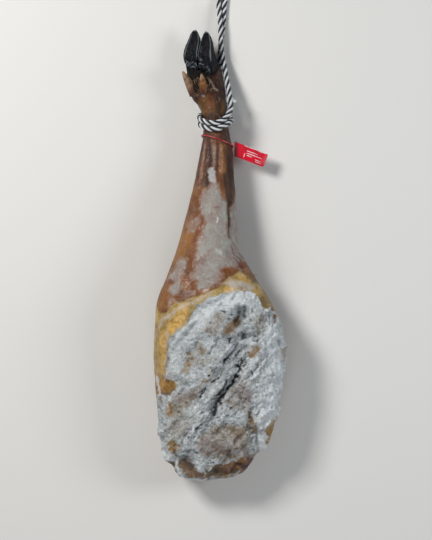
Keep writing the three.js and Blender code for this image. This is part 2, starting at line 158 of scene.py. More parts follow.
# Marks on the ham. film_and_sheen: grey film, and painted highlights down the shank;
# rosy: where the film thins; bloom_and_light: white mould, and painted light in a few strokes;
# thin: meat that shows through; fibres: torn meat; glint: painted highlights on the glossy skin;
# dark_skin_and_shade: dark skin, and painted shade in grooves, in a crack and below the cord;
# shade: painted shade in hollows; dark: painted shade in cracks and holes; pitted: pores;
# gold, amber and plum: tints, horn: black skin above the hoof
# Outlines: softness of the edge, strength, and points in picture pixels
AREAS = {
    "film_and_sheen": [
        (6.4, 1, (212, 183), (218, 184), (220, 191), (223, 200), (227.5, 202), (228, 212), (227.5, 222),
         (226.5, 232), (230, 236), (235, 244), (240, 251), (241, 260), (236, 266), (228, 266), (220, 268.5),
         (223, 275), (219, 283), (208, 287), (199, 291), (195.5, 284), (198.5, 281), (191, 276), (197, 267),
         (196, 254), (196.5, 241), (202.5, 232), (205.5, 222), (203, 215), (200, 209), (200.5, 196),
         (206, 190)),
        (5.6, 0.95, (179, 257), (187, 260), (186.5, 267), (182, 274), (181, 279), (179, 283), (182, 287),
         (177, 294), (172, 295.5), (168.5, 291), (170.5, 286), (174.5, 283), (172, 278), (167, 279),
         (169, 274), (173, 271), (175.5, 266)),
        (2.6, 0.85, (232, 203), (237, 201), (240, 216), (243, 236), (248, 252), (254, 266), (247, 262),
         (240, 256), (234, 245), (231.5, 236), (230.5, 222), (231.5, 208)),
        (3.5, 0.55, (188, 221), (200, 214), (200, 222), (194, 234), (186, 233)),
        (1.8, 0.45, (182, 292), (188, 290), (196, 290.5), (195, 295), (184, 296.5)),
        (2.5, 0.4, (166, 297), (173, 294), (175, 303), (168, 308)),
        (4.5, 0.62, (158.5, 327), (164, 317), (172, 311), (184, 304), (195, 299), (206, 294.5), (206, 297),
         (195, 302), (184, 308), (173, 315), (165, 321), (160.5, 328)),
        (5, 0.6, (183, 306), (190, 301), (200, 297), (208, 294), (214, 291), (208, 297), (197, 302),
         (188, 308)),
        (3.2, 0.75, (165, 330), (168, 331), (167, 350), (166.5, 374), (163.5, 374), (164.5, 350)),
        (6.5, 0.9, (220, 283), (232, 280), (241, 281.5), (250, 284), (256, 287), (252, 290), (244, 288.5),
         (235, 287.5)),
        (2.4, 0.5, (162, 370), (168, 368), (170, 380), (164, 384)),
    ],
    "thin": [
        (4.5, 1, (221, 337), (224, 326), (230, 319), (239, 315), (242.5, 322), (235, 333)),
        (3.6, 0.9, (245, 354), (252, 347), (260, 345), (259, 352), (251, 357)),
        (3.5, 0.35, (256.5, 311), (266, 314), (265, 326), (258, 333), (254, 325)),
        (4, 0.5, (204, 318), (222, 312), (228, 318), (214, 336), (200, 332)),
        (4, 0.5, (185, 352), (200, 344), (208, 350), (198, 364), (184, 372)),
        (1.3, 1, (159.5, 393), (160.5, 385), (166, 379), (173, 379), (175.5, 385), (172, 393), (163, 397)),
        (4, 0.62, (178, 398), (192, 390), (204, 380), (210, 380), (200, 394), (186, 408), (174, 420),
         (166, 416), (167, 404)),
        (2.2, 0.85, (166, 404), (172, 402), (174, 412), (169, 418)),
        (5, 0.5, (170, 420), (184, 412), (190, 424), (182, 434), (170, 436)),
        (2, 0.95, (167, 442), (174, 439), (179, 446), (176, 454), (170, 451)),
        (4, 0.5, (233, 384), (240, 380), (251, 390), (252, 404), (244, 411), (228, 408), (226, 400)),
        (2.5, 0.65, (247, 412), (253, 414), (256, 432), (250, 436), (246, 428)),
        (6, 0.62, (200, 434), (214, 424), (232, 426), (247, 428), (250, 444), (246, 458), (226, 462),
         (206, 456), (197, 446)),
        (3.6, 0.85, (230, 439), (236, 435), (240, 448), (234, 453)),
        (3.2, 1.06, (177, 461), (184, 460), (190, 463), (197, 470), (205, 474), (201, 478.6), (190.5, 476),
         (184, 471.8), (179, 466)),
        (3.4, 1.12, (208, 467), (220, 465), (230, 462), (246, 456), (256, 452), (252, 464), (244, 474),
         (224, 479), (200, 480), (203, 474)),
        (2.2, 1, (265, 428), (276, 418), (282, 410), (282, 430), (272, 444), (265.5, 441)),
        (2, 0.6, (281.5, 349), (286, 349), (286, 360), (281.5, 360)),
        (1.2, 1, (163, 454), (167, 460), (172, 465), (176.5, 470.5), (182, 475.5), (188, 480), (180, 485),
         (168, 475), (158, 456)),
        (1.5, 0.75, (270, 306), (276, 309), (280, 322), (275, 325), (272, 316)),
        (1.6, 0.45, (158, 397), (160, 397), (161, 412), (158, 412)),
    ],
    "fibres": [
        (9, 1, (232, 330), (262, 335), (256, 400), (215, 440), (184, 444), (172, 430), (196, 396)),
    ],
}

# Brush strokes: half width, strength and route, in picture pixels
STROKES = {
    # The first three strokes are painted highlights down the shank's ridges; the others are grey film.
    "film_and_sheen": [
        (2.2, 0.36, (213.5, 146), (214.5, 156), (214, 168)),
        (1.9, 0.2, (206, 138), (204, 155), (201, 172), (198, 188)),
        (2.4, 0.14, (220.5, 146), (221, 158), (220.5, 172)),
        (1.2, 0.6, (208.5, 78.5), (211, 83), (214, 87), (217, 90)), (2, 0.35, (197, 105), (200, 112)),
        (1.2, 0.45, (231, 258), (236, 265), (243, 270)), (1.2, 0.5, (236, 254), (244, 262)),
        (1.6, 0.22, (205, 190), (196, 205), (190, 225), (184, 245)),
    ],
    "rosy": [
        (4.5, 0.9, (217, 208), (214, 214), (217, 221)), (4.5, 0.9, (201, 238), (199, 252), (201, 262)),
        (4, 0.8, (209, 252), (206, 258)), (5, 0.9, (203, 276), (212, 282), (226, 274)),
        (4, 0.6, (176, 259), (180, 268)), (3, 0.5, (216, 232), (216, 242)),
    ],
    "bloom_and_light": [
        (2.9, 0.6, (211.3, 169), (211.8, 179)), (0.8, 0.8, (218.5, 216), (219, 222)),
        # The second stroke on this line, at (204, 291), is a painted highlight.
        (2.2, 0.35, (216, 250), (220, 252)), (1.2, 0.6, (204, 291), (208, 290)),
        (1.25, 1, (161.5, 449.5), (167, 456.4), (173.4, 462.4), (178.4, 469), (184, 474.6), (190.4, 478),
         (199, 479.8), (206, 480)),
        (3.4, 0.8, (195, 463), (200, 467), (203, 471)), (1.1, 0.42, (212, 479.4), (226, 477), (240, 472.6)),
        (2.2, 0.6, (204, 462), (209, 467), (210, 471)), (1.4, 0.7, (157, 377), (158, 386), (158.5, 396)),
        (3, 0.9, (259, 436), (262, 442), (261, 448)), (2, 0.8, (263, 433), (266, 437)),
        (1.3, 0.7, (272, 311), (277, 315), (279, 322)), (2.2, 0.5, (240, 343), (247, 341), (255, 345)),
        (7.5, 0.78, (206, 310), (220, 303), (234, 298), (248, 299)),
        (8.5, 0.5, (182, 338), (194, 328), (206, 319)),
        # This stroke and the first on the next line are painted light on the crust's right side.
        (8, 0.66, (274, 336), (276, 356), (274, 380), (269, 402), (264, 420)),
        (5, 0.3, (258, 372), (262, 388), (262, 410)), (7, 0.2, (175, 350), (180, 362)),
    ],
    # Painted highlights: glints on the glossy skin.
    "glint": [
        (3.5, 0.8, (183, 275), (187, 286)), (3.2, 0.8, (169, 307), (173, 302)),
        (2.4, 0.9, (203, 291.5), (207, 290)), (1.3, 0.8, (205, 146), (203.5, 160), (200.5, 178)),
        (1.8, 0.7, (220.5, 147), (221, 160), (220.5, 171)), (1.2, 0.7, (213.5, 147), (214, 157)),
        (3, 0.5, (184, 310), (186, 322)), (1.8, 0.5, (246, 268), (248, 272)),
        (3, 0.3, (192, 246), (190, 252)), (1, 1, (218.6, 98.4), (219.4, 99.8)),
        (0.9, 0.9, (219.4, 117.4), (220.6, 118.2)), (0.8, 0.8, (199.8, 108.4), (200.8, 109)),
    ],
    # Dark skin, and painted shade in the shank's grooves, in a crack in the fat and below the cord.
    "dark_skin_and_shade": [
        (2.8, 0.62, (209, 139), (209.5, 150), (208.5, 165), (206, 183)),
        (1.6, 0.55, (217, 142), (217, 160), (215.5, 172)),
        (2.8, 0.8, (225.5, 176), (228, 190), (229.6, 204)),
        (1.5, 0.85, (229, 200), (229.6, 214), (229.8, 226)), (0.8, 0.8, (229.6, 222), (230.3, 237)),
        (4.5, 0.6, (228, 150), (229, 160), (231, 172)), (2.6, 0.7, (232, 172), (233, 186), (233.5, 198)),
        (1, 0.4, (203, 142), (200, 165), (197, 178)), (0.6, 0.5, (231, 246), (234, 254), (241, 261)),
        (0.8, 0.6, (239, 252), (246, 260), (252, 269), (256, 279)),
        (0.6, 0.5, (234, 258), (240, 264), (246, 268)), (0.8, 0.3, (181, 284), (180, 292)),
        (0.7, 0.6, (171.3, 321.8), (173.8, 318.2)), (0.6, 0.25, (175, 316.4), (180, 313.6)),
        (1.4, 0.35, (188, 302), (192, 301), (195, 299.5)), (2.5, 0.5, (203, 136), (226, 139)),
        (3.6, 0.55, (214, 92), (218.5, 103), (218, 111)), (2.5, 0.6, (219, 79), (219, 88)),
        (3, 0.5, (205, 116), (224, 116)), (2.5, 0.5, (192, 94), (196, 106)),
        (4, 0.5, (222, 120), (224, 140)), (3, 0.5, (203, 124), (202, 136)),
    ],
    "gold": [
        (6, 0.65, (186, 236), (181, 250), (176, 262)), (3.4, 0.5, (223, 146), (224, 158), (222, 172)),
        (5, 0.35, (203, 100), (206, 112)), (4, 0.3, (214, 104), (216, 112)),
        (3, 0.4, (223.5, 104), (225, 114)), (4, 0.4, (166, 286), (160, 300), (158, 308)),
        (6, 0.95, (184, 309), (177, 318), (172, 330)), (2.2, 0.6, (163, 332), (163, 352), (162, 372)),
        (2, 0.5, (157, 312), (156.5, 322)), (2.4, 1, (225, 290.5), (236, 289)),
        (2, 0.6, (192, 302), (206, 297)), (7, 1, (166, 386), (171, 385)),
        (4.6, 0.3, (252, 352), (256, 349)), (4, 0.35, (226, 331), (232, 325)),
        (2.3, 0.9, (187, 371), (188, 365)), (2.3, 0.8, (207, 360), (209, 359)),
        (1.6, 0.7, (200, 346), (201, 344)), (1.4, 0.5, (199, 340), (198, 345)),
        (1.6, 0.45, (208, 372), (212, 368)), (5, 0.75, (170, 444), (174, 450)),
        (7, 0.7, (272, 420), (270, 432), (266, 442)), (2, 0.8, (282.5, 351), (282.5, 357)),
        (2.5, 0.6, (241, 432), (243, 429)), (2, 0.6, (224, 474), (232, 472), (240, 468)),
        (2.4, 0.45, (231, 466), (238, 461), (246, 459)), (1.5, 0.6, (250, 420), (251, 423)),
        (4, 0.9, (169, 404), (170, 414)), (3, 0.5, (242, 276), (250, 284), (257, 291)),
    ],
    "amber": [
        (3, 1, (195.5, 199), (196, 208)), (3.2, 0.95, (200, 218), (196.5, 236), (192.5, 258), (190, 268)),
        (3.8, 0.9, (187, 279), (192, 283), (194, 287)), (2.4, 0.8, (221, 270), (231, 271), (238, 268)),
        (1.4, 0.8, (219, 268), (226, 268.5), (233, 267)), (1.2, 0.6, (220, 275), (228, 274)),
        (1, 0.7, (232, 256), (238, 263)), (3.5, 0.9, (228, 264), (238, 262), (246, 270), (255, 280)),
        (3, 0.8, (188, 297), (178, 299)), (4, 0.8, (163, 282), (157, 298)),
        (6, 0.6, (262, 303), (268, 300)), (3, 0.7, (273, 308), (275, 324)),
        (5, 0.3, (227, 330), (232, 325), (238, 320)), (2.6, 0.8, (206, 380), (205, 386)),
        (3.5, 0.6, (185, 395), (181, 400)), (4, 0.25, (169, 404), (170, 414)),
        (4.6, 0.8, (232, 437), (235, 443), (237, 450)), (4, 0.5, (240, 392), (244, 397)),
        (2.4, 0.5, (203, 437), (205, 445)), (5, 0.95, (226, 469), (236, 466), (250, 462)),
        (2.5, 0.5, (182, 466), (188, 473)), (3, 0.85, (188, 472), (196, 476), (204, 477.5)),
        (2, 0.7, (159, 398), (159, 410)), (5, 0.5, (211, 98), (209, 106)), (2, 0.4, (222, 262), (216, 258)),
    ],
    "plum": [
        (4, 0.9, (184, 459), (192, 464)), (3.4, 1, (246, 453), (250, 462), (244, 468)),
        (2.5, 0.7, (230, 468), (240, 465)), (6, 0.5, (214, 448), (222, 446), (228, 452)),
        (3, 0.5, (205, 440), (203, 448)), (3, 0.5, (238, 434), (234, 442)),
        (4, 0.55, (176, 398), (186, 392)), (5, 0.5, (242, 392), (247, 398)),
        (2.5, 0.7, (170, 372), (168, 380)), (3, 0.3, (167, 407), (169, 412)),
    ],
    "shade": [
        (5.5, 1, (238.5, 321), (242, 315), (241, 309)), (3, 0.5, (228, 331), (233, 328)),
        (3, 0.45, (226, 340), (232, 339)), (3, 0.5, (242, 334), (250, 336), (257, 339)),
        (3.2, 0.7, (181, 462), (186, 465), (192, 469)), (3.2, 0.6, (183, 458), (193, 462)),
        (2.8, 0.75, (208, 473), (216, 472), (226, 471)), (1.5, 1, (232, 469.5), (237, 466), (241, 464)),
        (1.3, 0.9, (228, 472), (238, 471.5)), (1.6, 0.8, (245, 468), (248, 464)),
        (2.4, 0.45, (163, 457), (171, 467), (181, 477)),
        (2.4, 0.75, (212, 415), (206, 422.5), (201.5, 432)),
        (4.5, 0.7, (236, 376), (228, 386), (219, 397), (213, 411)),
        (3.6, 0.7, (246, 340), (240, 348), (234, 355), (226, 363), (216, 374)),
        (2.2, 0.4, (221, 371), (212, 383), (203, 392)), (2.2, 0.35, (204, 419), (195, 430)),
        (2, 0.6, (176, 452), (180, 458)), (1.2, 0.6, (177, 441), (174, 446)),
        (2, 0.45, (173, 336), (180, 340)), (2.5, 0.45, (257, 322), (263, 316)),
        (2.5, 0.35, (262, 296), (267, 302)),
    ],
    # Painted shade in the crust's cracks and holes.
    "dark": [
        (1.6, 1, (237, 375), (234, 381), (231, 385), (227, 390), (222.5, 397)),
        (1.3, 0.9, (227.5, 381), (223.5, 389), (218.7, 394)),
        (2.7, 1, (219.5, 396), (220, 401), (218.7, 404)), (1.1, 0.85, (212, 399.5), (217.7, 398.5)),
        (1.7, 1, (218.7, 403), (215.8, 409), (213.4, 415)), (1, 0.7, (209.5, 411.5), (214, 408)),
        (0.9, 0.75, (227.3, 406), (231, 408)), (0.9, 0.5, (246, 339.5), (240.7, 347)),
        (1.5, 0.85, (239, 350), (235, 355)), (1.7, 0.9, (228.5, 358), (222.5, 365)),
        (0.9, 0.8, (221.6, 371), (220.6, 377.4), (212, 382.2), (206.2, 389), (199.5, 397.5)),
        (0.75, 0.6, (210, 383), (204.3, 390), (198.6, 393)), (0.8, 0.4, (216, 366), (208, 376)),
        (0.85, 0.8, (203.5, 419.5), (195.7, 429), (188, 437.7)),
        (0.7, 0.65, (219.5, 310.5), (227.3, 312.4), (233, 314.5)), (0.8, 0.55, (227, 339), (230.5, 338)),
        (0.9, 0.8, (230.5, 338.5), (228.5, 343)), (1, 0.75, (242, 333), (246, 335)),
        (0.8, 0.7, (248, 334.5), (251, 338)), (1, 0.7, (253, 341), (255, 341.5)),
        (0.8, 0.6, (258, 339.5), (259, 336)), (0.9, 0.6, (239.5, 354.5), (244.5, 356.5)),
        (1.5, 0.8, (237.5, 366), (241, 368), (246, 366)), (1.1, 0.7, (243, 362), (239, 372)),
        (1.1, 0.7, (251, 370.5), (252.5, 373)), (1.6, 0.8, (249, 412), (251, 418)),
        (1, 0.6, (246, 427), (252, 429)), (0.9, 0.5, (248, 433), (253, 434)),
        (0.9, 0.9, (245, 297), (246.5, 299.5)), (0.6, 0.7, (192, 341), (194, 339)),
        (0.7, 0.7, (209, 323), (210.5, 322)), (0.7, 0.6, (203, 327), (204, 326.5)),
    ],
    "pitted": [
        (6, 0.8, (240, 390), (247, 403)), (6, 1, (238, 367), (245, 362)), (4, 0.6, (229, 405), (236, 402)),
        (5, 0.9, (249, 424), (250, 433)), (3.5, 0.8, (231, 341), (246, 336), (257, 339)),
        (4, 0.5, (225, 388), (216, 402)), (6, 0.3, (190, 330), (212, 324)),
        (4, 0.35, (172, 340), (180, 342)), (3, 0.4, (243, 296), (250, 300)),
        (5, 0.35, (176, 400), (188, 393), (196, 386)),
    ],
    "horn": [
        (5.5, 1, (186, 69), (193, 72), (201, 74), (208, 72), (215, 66)),
        (4.2, 0.9, (192, 76), (196, 84), (198, 90)), (3, 0.8, (210, 77), (216, 70)),
    ],
}

# Skin swells round the roots of the dewclaws: place and size in millimetres
COLLARS = [((-45, 278, 42), 13, 4.0), ((-27, 279, 58), 12, 3.2)]
# Hairs between the dewclaws: range along Y in millimetres, range round the foot in degrees, count, length
HAIR_FIELDS = {
    "dark": [(282, 322, 72, 118, 70, 11), (300, 326, 60, 150, 40, 7)],
    "pale": [(280, 312, 84, 116, 30, 12), (268, 284, 118, 150, 16, 8), (306, 324, 96, 140, 12, 9)],
}
HAIR_TONES = {"dark": "1b1513", "pale": "a98f68"}
HAIR_RADIUS = 0.3 * MM
HAIR_DEPTH = 0.6 * MM
BRISTLE_RADIUS = 0.5 * MM
BRISTLE_STEP = 1.6 * MM
HAIR_SIDES = 5
HAIR_POINTS = 7
HAIR_SEED = 5
BRISTLE = [
    [(56, -38, 62), (66, -36.5, 64), (72, -33, 65)], [(56, -39.5, 60), (65, -38, 61), (69.5, -35.5, 63)],
    [(56, -37, 63), (64, -34.5, 65), (68.5, -35, 66)],
]

# Hoof and dewclaws, as in the solids
HOOF_TURN = math.radians(-27)
HOOF_X = -28.5 * MM
HOOF_LEAN = -5 * MM
TOE_LEAN = 3.3 * MM
SOLE_HEIGHT = 17 * MM
SOLE_DROP = 8 * MM
SOLE_HOLLOW = 2 * MM
HEEL_BULB = 2.5 * MM
WALL_DEPTH = 18.5 * MM
WALL_LEAST = 1.5 * MM
RIM_PLACES = {-1: 0.6, 1: 0.86}
CLEFT = 0.4 * MM
TOE_POWER = 2.4
TOE_TIP = 0.1
HEEL_WIDTH = 0.92
SPLAY_POWER = 6
INNER_EDGE = 6
OUTER_EDGE = 3.2
WALL_EDGE = 2.3
CLAW_SIDES = 96
WALL_RIBS = 46
GAP = 0.3 * MM
CLAWS = {
    "claw_left": {"side": -1, "half": 15.6 * MM, "length": 65 * MM, "splay": 8.5 * MM},
    "claw_right": {"side": 1, "half": 14 * MM, "length": 61 * MM, "splay": 8.8 * MM},
}
DEWCLAWS = {
    "dewclaw_left": {"base": (-44, 282, 37), "tip": (-66.4, 322.4, 44), "radius": 10.5 * MM, "seed": 3},
    "dewclaw_right": {"base": (-27, 284, 52), "tip": (-32.6, 315.8, 66), "radius": 9.5 * MM, "seed": 8},
}
DEWCLAW_BEND = 2.5 * MM
DEWCLAW_TAPER = 0.55
DEWCLAW_RINGS = 60
DEWCLAW_SIDES = 48
DEWCLAW_RIBS = 26

# Strap and tag
STRAP_Y = 199 * MM
STRAP_SLOPE = 9.5 * MM
STRAP_FRONT = 3 * MM
STRAP_OFF = 2.2 * MM
STRAP_WIDTH = 1.3 * MM
STRAP_THICK = 0.9 * MM
STRAP_RINGS = 140
STRAP_SIDES = 14
TAG_LENGTH = 60 * MM
TAG_HEIGHT = 24.5 * MM
TAG_THICK = 1.4 * MM
TAG_CORNER = 3 * MM
TAG_SLANT = 4.5 * MM
TAG_PLACE = np.array([25.4, 185.5, 41]) * MM
TAG_TURN = math.radians(-20.4)
TAG_DROOP = math.radians(8)
# Rings of the plate's rounded edge: how far in from the outline, how far below the face, in millimetres
PLATE_RINGS = [(11.9, 0), (0.4, 0), (0.1, 0.2)]
PLATE_INSET_MOST = 0.97
# Bars on the tag: left end, middle height, length and width in millimetres
TAG_BARS = [
    (22.4, 4.6, 20, 1.2), (23.4, 0.7, 28, 1.2), (24.4, -3, 10, 1.2), (19.8, -4.6, 1.2, 7),
    (41, -5.2, 12, 0.9), (42.4, -8.2, 11, 0.9),
]
BAR_FOOT = TAG_THICK / 2 - 0.1 * MM
BAR_TOP = TAG_THICK / 2 + 0.12 * MM
# The tag's pale upper edge, a painted highlight: span along the tag, points, least depth
TAG_HIGHLIGHT_SPAN = (15 * MM, 57 * MM)
HIGHLIGHT_POINTS = 60
HIGHLIGHT_LEAST = 0.02 * MM
CLASP_LENGTH = 6 * MM
CLASP_THICK = 4 * MM
# Rings of the clasp: share of its outline and share of half its thickness
CLASP_RINGS = [(0.75, -1), (0.93, -1), (1, -0.7), (1, 0.7), (0.93, 1), (0.75, 1)]

# Lights: place, target and size in metres, power in watts, colour
LIGHTS = {
    "key": ((-1.3, 1.05, 1.7), (0, -0.05, 0.05), 0.6, 49, (1.0, 0.985, 0.96)),
    "fill": ((1.8, 0.1, 1.2), (0, 0, 0.05), 0.7, 19, (0.92, 0.96, 1.0)),
    "low": ((-0.2, -1.8, 1.3), (0, 0, 0.05), 0.8, 9, (1.0, 1.0, 1.0)),
}
SKY = (0.9, 0.94, 1.0, 1)
SKY_STRENGTH = 0.1
GROUND_REACH = 8.0


# Small mathematics on arrays

def smooth(value, low, high):
    t = np.clip((value - low) / (high - low), 0, 1)
    return t * t * (3 - 2 * t)


def lerp(a, b, t):
    return a + (b - a) * t


def unit(vectors):
    return vectors / np.linalg.norm(vectors, axis=-1, keepdims=True)


def circle(count):
    """Even angles once round."""
    return np.linspace(0, 2 * math.pi, count, endpoint=False)


def turned(x, y, angle):
    """A plane point as axes turned by an angle see it."""
    return x * math.cos(angle) + y * math.sin(angle), y * math.cos(angle) - x * math.sin(angle)


def cubic(t, start, leaving, end, arriving):
    """From start to end as t runs from 0 to 1, with the slopes leaving and arriving there."""
    first = (1 + 2 * t) * (1 - t) ** 2 * start + t * (1 - t) ** 2 * leaving
    return first + t * t * (3 - 2 * t) * end + t * t * (t - 1) * arriving


def through(pairs):
    """A smooth curve through given pairs of place and value."""
    places, values = np.array(pairs, float).T
    slopes = np.empty_like(values)
    slopes[1:-1] = (values[2:] - values[:-2]) / (places[2:] - places[:-2])
    slopes[0] = (values[1] - values[0]) / (places[1] - places[0])
    slopes[-1] = (values[-1] - values[-2]) / (places[-1] - places[-2])

    def curve(place):
        at = np.clip(place, places[0], places[-1])
        i = np.clip(np.searchsorted(places, at, side="right") - 1, 0, len(places) - 2)
        span = places[i + 1] - places[i]
        t = (at - places[i]) / span
        return cubic(t, values[i], span * slopes[i], values[i + 1], span * slopes[i + 1])

    return curve


def corner(i, j, k):
    value = np.sin(i * 127.1 + j * 311.7 + k * 74.7) * 43758.5453
    return (value - np.floor(value)) * 2 - 1


def noise(x, y, z):
    """Repeatable noise between -1 and 1, one lattice cell to the unit."""
    x, y, z = np.broadcast_arrays(x, y, z)
    i, j, k = np.floor(x), np.floor(y), np.floor(z)
    u, v, w = (smooth(t, 0, 1) for t in (x - i, y - j, z - k))

    def edge(b, c):
        return lerp(corner(i, j + b, k + c), corner(i + 1, j + b, k + c), u)

    return lerp(lerp(edge(0, 0), edge(1, 0), v), lerp(edge(0, 1), edge(1, 1), v), w)


def grain(points, size, shift=0.0):
    x, y, z = np.moveaxis(points / size, -1, 0)
    return noise(x, y, z + shift)


def grains(points, *layers):
    """A sum of noises in space, each with its strength, size and shift."""
    return sum(strength * grain(points, size, shift) for strength, size, shift in layers)


def mottle(x, y, *layers):
    """A sum of noises in a plane, each with its strength, size and shift."""
    return sum(strength * noise(x / size, y / size, shift) for strength, size, shift in layers)


def cells(x, y, size, shift):
    """Distance to the nearest of the points that are scattered one to a lattice cell of this size."""
    x, y = x / size, y / size
    nearest = np.full(np.shape(x), 9.0)
    i, j = np.floor(x), np.floor(y)
    for di in (-1, 0, 1):
        for dj in (-1, 0, 1):
            cx = i + di + 0.5 + 0.45 * corner(i + di, j + dj, shift)
            cy = j + dj + 0.5 + 0.45 * corner(i + di, j + dj, shift + 5)
            nearest = np.minimum(nearest, np.hypot(x - cx, y - cy))
    return nearest


def distance_to(route, x, y):
    nearest = np.full(np.shape(x), np.inf)
    for (ax, ay), (bx, by) in zip(route[:-1], route[1:]):
        squared = (bx - ax) ** 2 + (by - ay) ** 2
        t = np.clip(((x - ax) * (bx - ax) + (y - ay) * (by - ay)) / squared, 0, 1)
        nearest = np.minimum(nearest, np.hypot(x - lerp(ax, bx, t), y - lerp(ay, by, t)))
    return nearest


def inside_of(outline, x, y):
    """Distance to an outline, positive inside it."""
    closed = [*outline, outline[0]]
    inside = np.zeros(np.shape(x), bool)
    for (ax, ay), (bx, by) in zip(closed[:-1], closed[1:]):
        inside ^= ((ay > y) != (by > y)) & (x < (bx - ax) * (y - ay) / (by - ay + 1e-9) + ax)
    return np.where(inside, 1, -1) * distance_to(closed, x, y)


def painted(name, px, py):
    """The strongest of the marks of one name at each picture point, soft at its edge."""
    value = np.zeros(np.shape(px))
    for feather, strength, *outline in AREAS.get(name, ()):
        value = np.maximum(value, strength * smooth(inside_of(outline, px, py) / feather, -0.7, 0.7))
    for half, strength, *route in STROKES.get(name, ()):
        near = distance_to(route, px, py) / half
        value = np.maximum(value, strength * (1 - smooth(near, 0.55, 1.4)))
    return value


def picture_place(points):
    """Where the camera sees these points, in picture pixels."""
    x, y, z = np.moveaxis(points, -1, 0)
    scale = PIXEL * (CAMERA[2] - z) / (CAMERA[2] - MID_HEIGHT)
    return PICTURE[0] / 2 + (x - CAMERA[0]) / scale, PICTURE[1] / 2 - (y - CAMERA[1]) / scale


# Objects

def put(name, data):
    made = bpy.data.objects.new(name, data)
    bpy.context.scene.collection.objects.link(made)
    return made


def smooth_mesh(name, points, faces):
    mesh = bpy.data.meshes.new(name)
    mesh.from_pydata(points.tolist(), [], faces)
    mesh.shade_smooth()
    return put(name, mesh)


def grid_mesh(name, points, caps=True, ring_closed=True, ends_joined=False):
    """An object whose surface runs through rings of points."""
    rings, count, _ = points.shape
    index = np.arange(rings * count).reshape(rings, count)
    after = np.roll(index, -1, axis=1) if ring_closed else index[:, 1:]
    here = index if ring_closed else index[:, :-1]
    faces = np.stack([here[1:], after[1:], after[:-1], here[:-1]], -1).reshape(-1, 4).tolist()
    if ends_joined:
        faces += np.stack([here[0], after[0], after[-1], here[-1]], -1).tolist()
    elif caps:
        faces += [index[0].tolist(), index[-1][::-1].tolist()]
    return smooth_mesh(name, points.reshape(-1, 3), faces)


def tube_mesh(name, tubes):
    """An object of many closed tubes, each given as its rings of points."""
    faces = []
    first = 0
    for rings in tubes:
        index = first + np.arange(rings.shape[0] * rings.shape[1]).reshape(rings.shape[:2])
        after = np.roll(index, -1, axis=1)
        faces += np.stack([index[:-1], after[:-1], after[1:], index[1:]], -1).reshape(-1, 4).tolist()
        faces += [index[0][::-1].tolist(), index[-1].tolist()]
        first += index.size
    return smooth_mesh(name, np.vstack([rings.reshape(-1, 3) for rings in tubes]), faces)


def give(piece, name, values):
    """Stores one number for each vertex under a name that the material reads."""
    attribute = piece.data.attributes.new(name, "FLOAT", "POINT")
    attribute.data.foreach_set("value", np.clip(values, 0, 1).astype(np.float32).ravel())


def fit(piece, slot, node, *materials):
    """Gives a piece its materials and its place in the frame; node is the solid it replaces, if any."""
    for material in materials:
        piece.data.materials.append(material)
    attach(piece, "root")
    if node:
        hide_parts(node)


# Materials

def tone(code):
    """A colour as the screen shows it, turned to the linear values that shaders use."""
    parts = np.array([int(code[i:i + 2], 16) for i in (0, 2, 4)]) / 255
    linear = np.where(parts <= 0.04045, parts / 12.92, ((parts + 0.055) / 1.055) ** 2.4)
    return (*linear.tolist(), 1.0)


